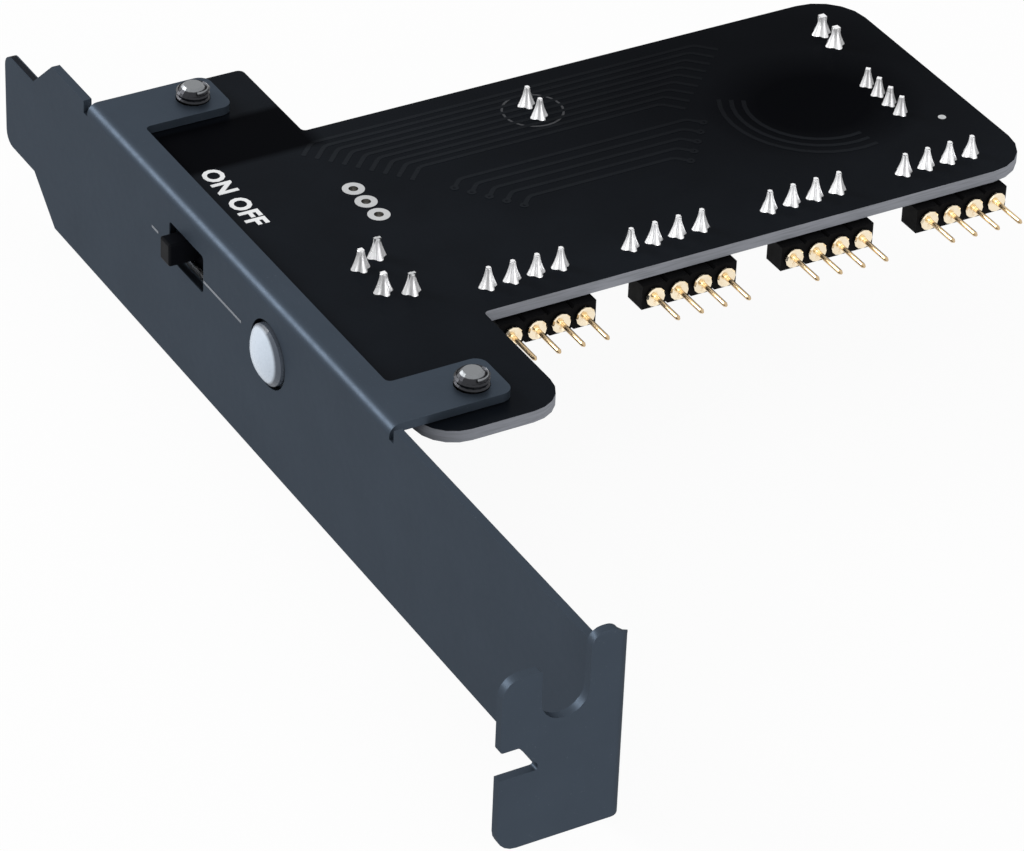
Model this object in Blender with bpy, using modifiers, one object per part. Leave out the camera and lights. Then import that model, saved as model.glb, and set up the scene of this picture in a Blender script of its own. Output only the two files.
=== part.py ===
"""Control board for coloured light strips, on a slot bracket of a computer case.

The sizes below are in metres, in the bracket's own directions: X runs inwards from the outer face of the
plate, Y runs along the plate from the screw tab to the tongue, and Z is up from the plate's top edge.
The frame empty then puts the origin in the middle of the tab's seating face.
"""

import math

import bmesh
import bpy
from mathutils import Matrix, Vector

# Fits
SEAT_GAP = 0.0002        # between a piece and the face that it sits on
HOLE_GAP = 0.0002        # all round a pin, a lead or a screw in its hole
SLIDE_GAP = 0.0003       # all round a piece that moves in another

# Bracket sheet
SHEET = 0.00086
BEND_INNER = 0.0002
BRACKET_LENGTH = 0.12002
PLATE_WIDTH = 0.01842
TONGUE_WIDTH = 0.01019
TONGUE_LENGTH = 0.0065
TAPER_LENGTH = 0.0046
TONGUE_CORNER = 0.0014

# Screw tab
TAB_LENGTH = 0.0111
TAB_DROP = 0.01485
TAB_CORNER = 0.0019
INNER_HORN_RISE = 0.0048
INNER_HORN_CORNER = 0.0016
HORN_SHOULDER = 0.0020
OUTER_HORN_RISE = 0.0027
OUTER_HORN_CORNER = 0.0020
SMALL_CORNER = 0.0003
SCREW_SLOT_WIDTH = 0.0045
SCREW_SLOT_X = 0.00515
SCREW_SLOT_DEPTH = 0.0027
NOTCH_TOP = 0.0045
NOTCH_HEIGHT = 0.0028
NOTCH_DEPTH = 0.0036
CORNER_CUT = 0.0034
CORNER_CUT_START = 0.0018

# Lip and ears
LIP_START = 0.0398
LIP_LENGTH = 0.06115
LIP_WIDTH = 0.0031
EAR_LENGTH = 0.0126
EAR_WIDTH = 0.0062
EAR_CORNER = 0.0012
RELIEF_WIDTH = 0.0008
RELIEF_DEPTH = 0.0003

# Board
BOARD_THICKNESS = 0.0012
BOARD_LENGTH = 0.0745
BOARD_WIDTH = 0.0355
BOARD_START = 0.0536
BOARD_CORNER = 0.0050
WING_WIDTH = 0.0138
WING_OVERHANG_NEAR = 0.0022
WING_OVERHANG_FAR = 0.0011
WING_CORNER = 0.0038
PAD_HOLE = 0.0009
PAD_ROW_X = 0.0165
PAD_ROW_Y = 0.0751

# Header strips
PITCH = 0.00254
HEADER_COUNT = 4
HEADER_PINS = 4
HEADER_FIRST_INSET = 0.0063
HEADER_LAST_INSET = 0.0091
HEADER_ROW_INSET = 0.0037
HEADER_HEIGHT = 0.00254
HEADER_DEPTH = 0.0025
HEADER_REACH = 0.0009
COLLAR_DIAMETER = 0.0020
COLLAR_STANDOUT = 0.0005
BARREL_DIAMETER = 0.0013
BARREL_LENGTH = 0.0013
PIN_DIAMETER = 0.0005
PIN_REACH = 0.0040
TAIL_RISE = 0.0020
TAIL_BEND = 0.0006

# Ear screws
SCREW_DIAMETER = 0.0030
SCREW_LENGTH = 0.0039
SCREW_HEAD_DIAMETER = 0.0055
SCREW_HEAD_HEIGHT = 0.0020
SCREW_RECESS = 0.0011
SCREW_X = 0.0097
SCREW_INSET_NEAR = 0.0027
SCREW_INSET_FAR = 0.0032

# Push switch
BUTTON_Y = 0.0629
BUTTON_DIAMETER = 0.0060
BUTTON_STANDOUT = 0.0002
BUTTON_DOME = 0.0011
BUTTON_LENGTH = 0.0044
BUTTON_HOLE_GAP = 0.0004
BUTTON_FLANGE_WIDTH = 0.0008
BUTTON_FLANGE_SHEET = 0.0008
BUTTON_SOCKET_FLOOR = 0.0008
BUTTON_TRAVEL = 0.00025
PUSH_SWITCH_X = 0.0099
PUSH_SWITCH_DEPTH = 0.0034
PUSH_SWITCH_WIDTH = 0.0060
PUSH_SWITCH_HEIGHT = 0.0074
PLUNGER_DIAMETER = 0.0034
PLUNGER_SEAT = 0.0012
FRAME_SHEET = 0.0003
FRAME_LEG_X = 0.0129
FRAME_LEG_WIDTH = 0.0007
TERMINAL_SPACING = 0.0044
TERMINAL_X = 0.0106
TERMINAL_SIDE = 0.0005
TERMINAL_SOCKET = 0.00106
DOME_DIAMETER = 0.0042
DOME_SHEET = 0.00012
DOME_RISE = 0.0004

# Slide switch
SLIDE_SWITCH_Y = 0.0796
SLIDE_SWITCH_WIDTH = 0.0126
SLIDE_SWITCH_HEIGHT = 0.0054
SLIDE_SWITCH_DEPTH = 0.0042
SHELL_SHEET = 0.0003
LEVER_WIDTH = 0.0020
LEVER_HEIGHT = 0.0024
LEVER_STANDOUT = 0.0014
LEVER_TRAVEL = 0.0035
LEVER_ROUND = 0.0002
WINDOW_MARGIN = 0.0008
SLIDER_WIDTH = 0.0050
SLIDER_DEPTH = 0.0012
CONTACT_SHEET = 0.0002
SLIDE_LEG_WIDTH = 0.0008
SLIDE_LEG_SHEET = 0.0003
SLIDE_LEG_LENGTH = 0.0014

# Capacitor
CAPACITOR_INSET = 0.0390
CAPACITOR_Y = 0.0828
CAPACITOR_DIAMETER = 0.0063
CAPACITOR_HEIGHT = 0.0110
CAPACITOR_WALL = 0.0003
CAPACITOR_NECK = 0.0003
CAPACITOR_PITCH = 0.0025
LEAD_DIAMETER = 0.0005
SEAL_HEIGHT = 0.0016

# Power inlet
INLET_INSET = 0.0057
INLET_Y = 0.08205
INLET_DEPTH = 0.0058
INLET_HEIGHT = 0.0032
INLET_WALL = 0.0008
INLET_WALL_HEIGHT = 0.0086
INLET_PIN_SIDE = 0.00064
INLET_PIN_LENGTH = 0.0070

# Flat parts on the underside
CHIP_X = 0.0345
CHIP_Y = 0.0650
CHIP_LENGTH = 0.0049
CHIP_WIDTH = 0.0039
CHIP_HEIGHT = 0.0014
CHIP_LEGS = 4
CHIP_LEG_PITCH = 0.00127
CHIP_LEG_WIDTH = 0.0004
CHIP_LEG_REACH = 0.0010
CHIP_LEG_SHEET = 0.0002
DRIVER_INSET = 0.0318
DRIVER_Y = 0.0700
DRIVER_SPACING = 0.0090
DRIVER_LENGTH = 0.0029
DRIVER_WIDTH = 0.0013
DRIVER_HEIGHT = 0.0010
DRIVER_LEG_REACH = 0.0005
REGULATOR_INSET = 0.0218
REGULATOR_Y = 0.0820
REGULATOR_LENGTH = 0.0045
REGULATOR_WIDTH = 0.0025
REGULATOR_HEIGHT = 0.0015
RESISTOR_LENGTH = 0.0020
RESISTOR_WIDTH = 0.00125
RESISTOR_HEIGHT = 0.0005
RESISTOR_OFFSET_Y = 0.0045

# Facets
BEND_STEPS = 5
CORNER_STEPS = 5
DOME_STEPS = 8
HOLE_SIDES = 16
SMALL_SIDES = 12

# Places that follow from the sizes
BEND_OUTER = BEND_INNER + SHEET
LIP_END = LIP_START + LIP_LENGTH
EAR_SCREW_YS = (LIP_START + SCREW_INSET_NEAR, LIP_END - SCREW_INSET_FAR)
BOARD_TOP = -SHEET - SEAT_GAP
BOARD_BOTTOM = BOARD_TOP - BOARD_THICKNESS
UNDER_BOARD = BOARD_BOTTOM - SEAT_GAP
BOARD_LEFT = LIP_WIDTH + SEAT_GAP
BOARD_RIGHT = BOARD_LEFT + BOARD_LENGTH
BOARD_END = BOARD_START + BOARD_WIDTH
CAPACITOR_X = BOARD_RIGHT - CAPACITOR_INSET
INLET_X = BOARD_RIGHT - INLET_INSET
DRIVER_X = BOARD_RIGHT - DRIVER_INSET
REGULATOR_X = BOARD_RIGHT - REGULATOR_INSET
WING_RIGHT = BOARD_LEFT + WING_WIDTH
WING_START = LIP_START - WING_OVERHANG_NEAR
WING_END = LIP_END + WING_OVERHANG_FAR
HEADER_ROW_Y = BOARD_START + HEADER_ROW_INSET
HEADER_FRONT_Y = BOARD_START - HEADER_REACH
HEADER_AXIS_Z = UNDER_BOARD - HEADER_HEIGHT / 2
BUTTON_Z = UNDER_BOARD - PUSH_SWITCH_HEIGHT / 2
SWITCH_Z = UNDER_BOARD - SLIDE_SWITCH_HEIGHT / 2
SHELL_FRONT = SHEET + SEAT_GAP
LEVER_Y = SLIDE_SWITCH_Y + LEVER_TRAVEL / 2

NAME = "led_strip_adapter"


class Stage:
    """The collection, the frame empty and the materials that the sub-parts share."""

    def __init__(self):
        """Clear the scene and make the collection and the frame."""
        for old in list(bpy.data.objects):
            bpy.data.objects.remove(old, do_unlink=True)
        self.parts = bpy.data.collections.new(NAME)
        bpy.context.scene.collection.children.link(self.parts)
        self.frame = bpy.data.objects.new("frame", None)
        self.parts.objects.link(self.frame)
        solid_height = TAB_DROP - SCREW_SLOT_DEPTH
        self.frame.location = (TAB_LENGTH / 2, -SHEET, SCREW_SLOT_DEPTH + solid_height / 2)
        self.materials = {}

    def material(self, name, colour, roughness, metallic):
        """Return the named material, made at its first use."""
        if name not in self.materials:
            made = bpy.data.materials.new(name)
            made.use_nodes = True
            shader = made.node_tree.nodes["Principled BSDF"]
            shader.inputs["Base Color"].default_value = (*colour, 1.0)
            shader.inputs["Roughness"].default_value = roughness
            shader.inputs["Metallic"].default_value = metallic
            self.materials[name] = made
        return self.materials[name]

    def add(self, name, mesh, material, location=(0, 0, 0), parent=None):
        """Put a mesh into the part as a named object with its material."""
        if not mesh.materials:
            mesh.materials.append(material)
        made = bpy.data.objects.new(name, mesh)
        self.parts.objects.link(made)
        made.parent = parent or self.frame
        made.location = location
        return made


def paint(stage):
    return stage.material("bracket_paint", (0.045, 0.052, 0.065), 0.42, 0.35)


def board_black(stage):
    return stage.material("board_black", (0.010, 0.011, 0.014), 0.35, 0.0)


def black_plastic(stage):
    return stage.material("black_plastic", (0.015, 0.015, 0.016), 0.5, 0.0)


def gold(stage):
    return stage.material("gold_plate", (0.83, 0.62, 0.30), 0.28, 1.0)


def steel(stage):
    return stage.material("plated_steel", (0.62, 0.62, 0.60), 0.32, 1.0)


def tin(stage):
    return stage.material("tinned_lead", (0.75, 0.75, 0.74), 0.3, 1.0)


def pale_plastic(stage):
    return stage.material("pale_plastic", (0.62, 0.66, 0.70), 0.35, 0.0)


def sleeve(stage):
    return stage.material("capacitor_sleeve", (0.02, 0.022, 0.03), 0.3, 0.0)


def rubber(stage):
    return stage.material("rubber_seal", (0.03, 0.03, 0.03), 0.8, 0.0)


def resistor_ceramic(stage):
    return stage.material("resistor_ceramic", (0.05, 0.05, 0.055), 0.45, 0.0)


def circle(x, y, diameter, sides=HOLE_SIDES):
    """Return the points of a circle that runs anticlockwise."""
    radius = diameter / 2
    angles = [2 * math.pi / sides * (k + 0.5) for k in range(sides)]
    return [(x + radius * math.cos(angle), y + radius * math.sin(angle)) for angle in angles]


def rectangle(x0, x1, y0, y1, radius=0.0):
    """Return the points of a rectangle, with round corners where a radius is given."""
    return rounded([(x0, y0, radius), (x1, y0, radius), (x1, y1, radius), (x0, y1, radius)])


def rounded(corners):
    """Return an outline whose corners, each an x, a y and a radius, are turned into arcs."""
    points = []
    count = len(corners)
    for index, (x, y, radius) in enumerate(corners):
        here = Vector((x, y))
        before = Vector(corners[index - 1][:2]) - here
        after = Vector(corners[(index + 1) % count][:2]) - here
        if radius <= 0.0:
            points.append((x, y))
            continue
        half = before.angle(after) / 2
        setback = min(radius / math.tan(half), before.length * 0.49, after.length * 0.49)
        arc_radius = setback * math.tan(half)
        bisector = (before.normalized() + after.normalized()).normalized()
        centre = here + bisector * (arc_radius / math.sin(half))
        first = here + before.normalized() * setback - centre
        last = here + after.normalized() * setback - centre
        sweep = first.angle_signed(last)
        for step in range(CORNER_STEPS + 1):
            turned_arm = Matrix.Rotation(-sweep * step / CORNER_STEPS, 2) @ first
            points.append(tuple(centre + turned_arm))
    return points


def mesh_from(made):
    """Turn an object and its modifiers into a plain mesh and remove the object."""
    depsgraph = bpy.context.evaluated_depsgraph_get()
    mesh = bpy.data.meshes.new_from_object(made.evaluated_get(depsgraph))
    mesh.transform(made.matrix_world)
    shape = bmesh.new()
    shape.from_mesh(mesh)
    bmesh.ops.remove_doubles(shape, verts=shape.verts, dist=1e-7)
    shape.to_mesh(mesh)
    shape.free()
    mesh.materials.clear()
    data = made.data
    bpy.data.objects.remove(made, do_unlink=True)
    if data.users == 0 and isinstance(data, bpy.types.Curve):
        bpy.data.curves.remove(data)
    return mesh


def link_for_work(name, data):
    """Make a working object in the scene's own collection."""
    made = bpy.data.objects.new(name, data)
    bpy.context.scene.collection.objects.link(made)
    return made


def flat_curve(outline, holes):
    """Return a filled flat curve of an outline and its holes."""
    curve = bpy.data.curves.new("outline", "CURVE")
    curve.dimensions = "2D"
    curve.fill_mode = "BOTH"
    for points in [outline, *holes]:
        spline = curve.splines.new("POLY")
        spline.points.add(len(points) - 1)
        for point, (x, y) in zip(spline.points, points):
            point.co = (x, y, 0.0, 1.0)
        spline.use_cyclic_u = True
    return curve


def prism(outline, low, high, holes=(), turn=None):
    """Return a mesh of an outline raised from low to high, then turned by a matrix if one is given."""
    curve = flat_curve(outline, holes)
    curve.extrude = (high - low) / 2
    mesh = mesh_from(link_for_work("prism", curve))
    mesh.transform(Matrix.Translation((0, 0, (low + high) / 2)))
    if turn is not None:
        mesh.transform(turn)
    return outward(mesh)


# A prism turned so that its outline lies in Y and Z and it is raised along X
ALONG_X = Matrix(((0, 0, 1, 0), (1, 0, 0, 0), (0, 1, 0, 0), (0, 0, 0, 1)))

# A prism turned so that its outline lies in Z and X and it is raised along Y
ALONG_Y = Matrix(((0, 1, 0, 0), (0, 0, 1, 0), (1, 0, 0, 0), (0, 0, 0, 1)))


def outward(mesh):
    """Point all faces of a closed mesh outwards."""
    shape = bmesh.new()
    shape.from_mesh(mesh)
    bmesh.ops.recalc_face_normals(shape, faces=shape.faces)
    shape.to_mesh(mesh)
    shape.free()
    return mesh


def block(x0, x1, y0, y1, z0, z1):
    """Return a mesh of a box between two corners."""
    shape = bmesh.new()
    bmesh.ops.create_cube(shape, size=1.0)
    scale = Matrix.Diagonal((x1 - x0, y1 - y0, z1 - z0, 1.0))
    centre = Matrix.Translation(((x0 + x1) / 2, (y0 + y1) / 2, (z0 + z1) / 2))
    bmesh.ops.transform(shape, matrix=centre @ scale, verts=shape.verts)
    mesh = bpy.data.meshes.new("block")
    shape.to_mesh(mesh)
    shape.free()
    return mesh


def turned(profile, sides, axis_turn=None):
    """Return a turned mesh: a profile of (radius, height) points, top to bottom, spun about Z."""
    mesh = bpy.data.meshes.new("profile")
    points = [(radius, 0.0, height) for radius, height in profile]
    mesh.from_pydata(points, [(k, k + 1) for k in range(len(points) - 1)], [])
    made = link_for_work("turned", mesh)
    screw = made.modifiers.new("Turn", "SCREW")
    screw.axis = "Z"
    screw.steps = sides
    screw.render_steps = sides
    screw.use_merge_vertices = True
    screw.merge_threshold = 0.000001
    result = outward(mesh_from(made))
    if axis_turn is not None:
        result.transform(axis_turn)
    return result


def wire(points, diameter, sides_setting=1):
    """Return a round wire along points."""
    curve = bpy.data.curves.new("wire", "CURVE")
    curve.dimensions = "3D"
    curve.bevel_depth = diameter / 2
    curve.bevel_resolution = sides_setting
    curve.use_fill_caps = True
    spline = curve.splines.new("POLY")
    spline.points.add(len(points) - 1)
    for point, place in zip(spline.points, points):
        point.co = (*place, 1.0)
    return outward(mesh_from(link_for_work("wire", curve)))


def combine(base, others, operation):
    """Return a mesh with the other meshes joined to it or cut from it, one after another."""
    for other in others:
        made = link_for_work("base", base)
        tool = link_for_work("tool", other)
        change = made.modifiers.new("Combine", "BOOLEAN")
        change.operation = operation
        change.solver = "EXACT"
        change.object = tool
        base = mesh_from(made)
        bpy.data.objects.remove(tool, do_unlink=True)
    return base


def joined(base, *others):
    return combine(base, others, "UNION")


def cut(base, *others):
    return combine(base, others, "DIFFERENCE")


def bevelled(mesh, width, segments=2, angle=math.radians(40)):
    """Return a mesh with its sharp edges rounded."""
    made = link_for_work("bevelled", mesh)
    bevel = made.modifiers.new("Round", "BEVEL")
    bevel.width = width
    bevel.segments = segments
    bevel.limit_method = "ANGLE"
    bevel.angle_limit = angle
    return mesh_from(made)


def smooth(mesh, angle=math.radians(35)):
    """Shade a mesh smooth, with its sharp edges kept."""
    mesh.shade_smooth()
    mesh.set_sharp_from_angle(angle=angle)
    return mesh


# Bracket: a flat blank with two bends

def lip_blank(x):
    """Return the height on the blank of a point of the lip or an ear at this X."""
    return -BEND_OUTER + BEND_OUTER * math.pi / 2 + (x - BEND_OUTER)


def tab_blank(x):
    """Return the length on the blank of a point of the tab at this X, which is negative."""
    return SHEET + BEND_INNER - BEND_INNER * math.pi / 2 - (-x - BEND_INNER)


def blank_outline():
    """Return the outline of the flat blank: tab, plate, tongue and the lip with its ears."""
    tongue_low = -(PLATE_WIDTH + TONGUE_WIDTH) / 2
    tongue_high = -(PLATE_WIDTH - TONGUE_WIDTH) / 2
    taper_end = BRACKET_LENGTH - TONGUE_LENGTH
    taper_start = taper_end - TAPER_LENGTH
    relief = -BEND_OUTER - RELIEF_DEPTH
    ear_tip = lip_blank(EAR_LENGTH)
    lip_edge = lip_blank(LIP_WIDTH)
    tab_end = tab_blank(-TAB_LENGTH)
    bend_end = SHEET + BEND_INNER
    slot_near = tab_blank(-SCREW_SLOT_X + SCREW_SLOT_WIDTH / 2)
    slot_far = tab_blank(-SCREW_SLOT_X - SCREW_SLOT_WIDTH / 2)
    horn_side = bend_end + BEND_INNER / 2
    bend_start = tab_blank(-BEND_INNER)
    notch_end = tab_end + NOTCH_DEPTH
    slot_round = SCREW_SLOT_WIDTH * 0.49
    return rounded([
        (tab_end, -TAB_DROP, TAB_CORNER),
        (bend_end + CORNER_CUT_START, -TAB_DROP, CORNER_CUT_START / 2),
        (bend_end + CORNER_CUT_START + CORNER_CUT, -PLATE_WIDTH, 0.0),
        (taper_start, -PLATE_WIDTH, 0.0),
        (taper_end, tongue_low, 0.0),
        (BRACKET_LENGTH, tongue_low, TONGUE_CORNER),
        (BRACKET_LENGTH, tongue_high, TONGUE_CORNER),
        (taper_end, tongue_high, 0.0),
        (taper_start, 0.0, 0.0),
        (LIP_END + RELIEF_WIDTH, 0.0, 0.0),
        (LIP_END + RELIEF_WIDTH, relief, 0.0),
        (LIP_END, relief, 0.0),
        (LIP_END, ear_tip, EAR_CORNER),
        (LIP_END - EAR_WIDTH, ear_tip, EAR_CORNER),
        (LIP_END - EAR_WIDTH, lip_edge, EAR_CORNER / 2),
        (LIP_START + EAR_WIDTH, lip_edge, EAR_CORNER / 2),
        (LIP_START + EAR_WIDTH, ear_tip, EAR_CORNER),
        (LIP_START, ear_tip, EAR_CORNER),
        (LIP_START, relief, 0.0),
        (LIP_START - RELIEF_WIDTH, relief, 0.0),
        (LIP_START - RELIEF_WIDTH, 0.0, 0.0),
        (horn_side, 0.0, 0.0),
        (horn_side, INNER_HORN_RISE - HORN_SHOULDER, SMALL_CORNER),
        (bend_start, INNER_HORN_RISE, INNER_HORN_CORNER),
        (slot_near, INNER_HORN_RISE, INNER_HORN_CORNER),
        (slot_near, -SCREW_SLOT_DEPTH, slot_round),
        (slot_far, -SCREW_SLOT_DEPTH, slot_round),
        (slot_far, OUTER_HORN_RISE, SMALL_CORNER),
        (tab_end, OUTER_HORN_RISE, OUTER_HORN_CORNER),
        (tab_end, -NOTCH_TOP, SMALL_CORNER),
        (notch_end - NOTCH_HEIGHT * 0.65, -NOTCH_TOP, SMALL_CORNER),
        (notch_end, -NOTCH_TOP - NOTCH_HEIGHT * 0.8, SMALL_CORNER),
        (notch_end, -NOTCH_TOP - NOTCH_HEIGHT, SMALL_CORNER),
        (tab_end, -NOTCH_TOP - NOTCH_HEIGHT, 0.0),
    ])


def blank_holes():
    """Return the window, the button hole and the two screw holes of the blank."""
    window_half = LEVER_TRAVEL / 2 + LEVER_WIDTH / 2 + WINDOW_MARGIN
    window_height = LEVER_HEIGHT / 2 + WINDOW_MARGIN
    window = rectangle(SLIDE_SWITCH_Y - window_half, SLIDE_SWITCH_Y + window_half,
                       SWITCH_Z - window_height, SWITCH_Z + window_height, WINDOW_MARGIN / 2)
    button = circle(BUTTON_Y, BUTTON_Z, BUTTON_DIAMETER + 2 * BUTTON_HOLE_GAP, 2 * HOLE_SIDES)
    screws = [circle(y, lip_blank(SCREW_X), SCREW_DIAMETER + 2 * HOLE_GAP) for y in EAR_SCREW_YS]
    return [window, button, *screws]


def folded(length, height):
    """Return where a point of the blank lies on the bracket's outer face once both bends are made."""
    bend_end = SHEET + BEND_INNER
    if length < bend_end:
        run = bend_end - length
        arc = BEND_INNER * math.pi / 2
        if run <= arc:
            angle = run / BEND_INNER
            return (BEND_INNER * (math.cos(angle) - 1), bend_end - BEND_INNER * math.sin(angle), height)
        return (-BEND_INNER - (run - arc), SHEET, height)
    on_lip = LIP_START - RELIEF_WIDTH / 2 < length < LIP_END + RELIEF_WIDTH / 2
    if on_lip and height > -BEND_OUTER:
        run = height + BEND_OUTER
        arc = BEND_OUTER * math.pi / 2
        if run <= arc:
            angle = run / BEND_OUTER
            return (BEND_OUTER * (1 - math.cos(angle)), length, BEND_OUTER * (math.sin(angle) - 1))
        return (BEND_OUTER + run - arc, length, 0.0)
    return (0.0, length, height)


def make_bracket(stage):
    """Fold the blank into the bracket and give it the sheet's thickness."""
    mesh = mesh_from(link_for_work("blank", flat_curve(blank_outline(), blank_holes())))
    shape = bmesh.new()
    shape.from_mesh(mesh)
    bend_end = SHEET + BEND_INNER
    cuts = []
    for step in range(BEND_STEPS + 1):
        share = step / BEND_STEPS * math.pi / 2
        cuts.append((Vector((bend_end - BEND_INNER * share, 0, 0)), Vector((1, 0, 0))))
        cuts.append((Vector((0, BEND_OUTER * (share - 1), 0)), Vector((0, 1, 0))))
    for place, normal in cuts:
        bmesh.ops.bisect_plane(shape, geom=shape.verts[:] + shape.edges[:] + shape.faces[:],
                               dist=1e-8, plane_co=place, plane_no=normal)
    for vertex in shape.verts:
        vertex.co = folded(vertex.co.x, vertex.co.y)
    bmesh.ops.recalc_face_normals(shape, faces=shape.faces)
    outer = max(shape.faces, key=lambda face: face.calc_area())
    if outer.normal.x > 0:
        bmesh.ops.reverse_faces(shape, faces=shape.faces)
    shape.to_mesh(mesh)
    shape.free()
    sheet = link_for_work("sheet", mesh)
    solid = sheet.modifiers.new("Sheet", "SOLIDIFY")
    solid.thickness = SHEET
    solid.offset = -1.0
    solid.use_even_offset = True
    return stage.add("bracket", smooth(mesh_from(sheet)), paint(stage))


# Board

def header_centres():
    """Return the X of the middle of each header, spread evenly from the wing to the board's far end."""
    first = WING_RIGHT + HEADER_FIRST_INSET
    spacing = (BOARD_RIGHT - HEADER_LAST_INSET - first) / (HEADER_COUNT - 1)
    return [first + spacing * k for k in range(HEADER_COUNT)]


def header_pin_xs():
    """Return, header by header, the X of each pin."""
    offsets = [(k - (HEADER_PINS - 1) / 2) * PITCH for k in range(HEADER_PINS)]
    return [[centre + offset for offset in offsets] for centre in header_centres()]


def board_holes():
    """Return the holes of the board, each as a circle."""
    lead_hole = LEAD_DIAMETER + 2 * HOLE_GAP
    terminal_hole = TERMINAL_SIDE * math.sqrt(2) + 2 * HOLE_GAP
    leg_hole = FRAME_LEG_WIDTH * math.sqrt(2) + 2 * HOLE_GAP
    inlet_hole = INLET_PIN_SIDE * math.sqrt(2) + 2 * HOLE_GAP
    holes = [circle(SCREW_X, y, SCREW_DIAMETER + 2 * HOLE_GAP) for y in EAR_SCREW_YS]
    for row in header_pin_xs():
        holes += [circle(x, HEADER_ROW_Y, PIN_DIAMETER + 2 * HOLE_GAP, SMALL_SIDES) for x in row]
    for side in (-1, 1):
        holes.append(circle(TERMINAL_X, BUTTON_Y + side * TERMINAL_SPACING / 2, terminal_hole, SMALL_SIDES))
        holes.append(circle(FRAME_LEG_X, frame_leg_y(side), leg_hole, SMALL_SIDES))
        holes.append(circle(CAPACITOR_X, CAPACITOR_Y + side * CAPACITOR_PITCH / 2, lead_hole, SMALL_SIDES))
        holes.append(circle(INLET_X, INLET_Y + side * PITCH / 2, inlet_hole, SMALL_SIDES))
    holes += [circle(PAD_ROW_X, PAD_ROW_Y + k * PITCH, PAD_HOLE, SMALL_SIDES) for k in (-1, 0, 1)]
    return holes


def make_board(stage):
    """Cut the board with a wing under each ear."""
    outline = rounded([
        (BOARD_LEFT, WING_START, WING_CORNER),
        (WING_RIGHT, WING_START, WING_CORNER),
        (WING_RIGHT, BOARD_START, WING_CORNER / 8),
        (BOARD_RIGHT, BOARD_START, BOARD_CORNER),
        (BOARD_RIGHT, BOARD_END, BOARD_CORNER),
        (WING_RIGHT, BOARD_END, WING_CORNER / 8),
        (WING_RIGHT, WING_END, WING_CORNER / 6),
        (BOARD_LEFT, WING_END, WING_CORNER / 6),
    ])
    return stage.add("board", prism(outline, BOARD_BOTTOM, BOARD_TOP, board_holes()), board_black(stage))


# Headers

def make_header_housing(stage, index, centre):
    """Mould one header strip: a block with a round bore and a side groove for each pin."""
    half = HEADER_PINS * PITCH / 2
    high = HEADER_HEIGHT / 2
    groove = HEADER_HEIGHT / 10
    top = []
    bottom = []
    for k in range(1, HEADER_PINS):
        x = -half + k * PITCH
        top += [(high, x - groove), (high - groove, x), (high, x + groove)]
        bottom += [(-high, x - groove), (groove - high, x), (-high, x + groove)]
    outline = [(-high, -half), *bottom, (-high, half), (high, half), *reversed(top), (high, -half)]
    bore = BARREL_DIAMETER + 2 * HOLE_GAP
    bores = [circle(0.0, (k - (HEADER_PINS - 1) / 2) * PITCH, bore) for k in range(HEADER_PINS)]
    mesh = prism(outline, 0.0, HEADER_DEPTH, bores, ALONG_Y)
    place = (centre, HEADER_FRONT_Y, HEADER_AXIS_Z)
    return stage.add(f"header_{index}_housing", mesh, black_plastic(stage), place)


def header_pin_mesh():
    """Return one turned pin: point, dished collar, barrel and a tail that bends up through the board."""
    radius = PIN_DIAMETER / 2
    collar = COLLAR_DIAMETER / 2
    barrel = BARREL_DIAMETER / 2
    front = COLLAR_STANDOUT
    back = -BARREL_LENGTH
    chamfer = collar * 0.12
    dish = collar * 0.2
    tip = front + PIN_REACH
    profile = [(0.0, tip), (radius * 0.55, tip), (radius, tip - radius), (radius, front - dish),
               (collar - 2 * chamfer, front), (collar - chamfer, front), (collar, front - chamfer),
               (collar, SEAT_GAP), (barrel, SEAT_GAP), (barrel, back), (0.0, back)]
    point_turn = Matrix.Rotation(math.pi / 2, 4, "X")
    body = turned(profile, SMALL_SIDES, point_turn)
    run = HEADER_ROW_Y - HEADER_FRONT_Y
    rise = BOARD_TOP + TAIL_RISE - HEADER_AXIS_Z
    path = [(0.0, -back - radius, 0.0)]
    for step in range(CORNER_STEPS):
        angle = math.pi / 2 * step / (CORNER_STEPS - 1)
        path.append((0.0, run - TAIL_BEND + TAIL_BEND * math.sin(angle), TAIL_BEND * (1 - math.cos(angle))))
    path.append((0.0, run, rise))
    return joined(body, wire(path, PIN_DIAMETER))


def make_headers(stage):
    """Place the header strips and their pins."""
    pin_mesh = smooth(header_pin_mesh())
    for index, (centre, row) in enumerate(zip(header_centres(), header_pin_xs()), start=1):
        make_header_housing(stage, index, centre)
        for number, x in enumerate(row, start=1):
            place = (x, HEADER_FRONT_Y, HEADER_AXIS_Z)
            stage.add(f"header_{index}_pin_{number}", pin_mesh, gold(stage), place)


# Ear screws

def make_screws(stage):
    """Put a pan-head screw up through each wing of the board and its ear."""
    head = SCREW_HEAD_DIAMETER / 2
    shank = SCREW_DIAMETER / 2
    edge = SCREW_DIAMETER / 10
    profile = [(0.0, SCREW_LENGTH), (shank - 2 * edge, SCREW_LENGTH), (shank, SCREW_LENGTH - 2 * edge),
               (shank, 0.0), (head, 0.0), (head, -SCREW_HEAD_HEIGHT * 0.45),
               (head * 0.86, -SCREW_HEAD_HEIGHT * 0.82), (head * 0.5, -SCREW_HEAD_HEIGHT),
               (0.0, -SCREW_HEAD_HEIGHT)]
    arm = SCREW_HEAD_DIAMETER * 0.27
    web = SCREW_HEAD_DIAMETER * 0.065
    low = -SCREW_HEAD_HEIGHT * 1.2
    high = -SCREW_HEAD_HEIGHT + SCREW_RECESS
    recess = [block(-arm, arm, -web, web, low, high), block(-web, web, -arm, arm, low, high)]
    mesh = smooth(cut(turned(profile, HOLE_SIDES), *recess))
    for name, y in zip(("screw_near", "screw_far"), EAR_SCREW_YS):
        stage.add(name, mesh, steel(stage), (SCREW_X, y, UNDER_BOARD))


# Push switch

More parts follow.
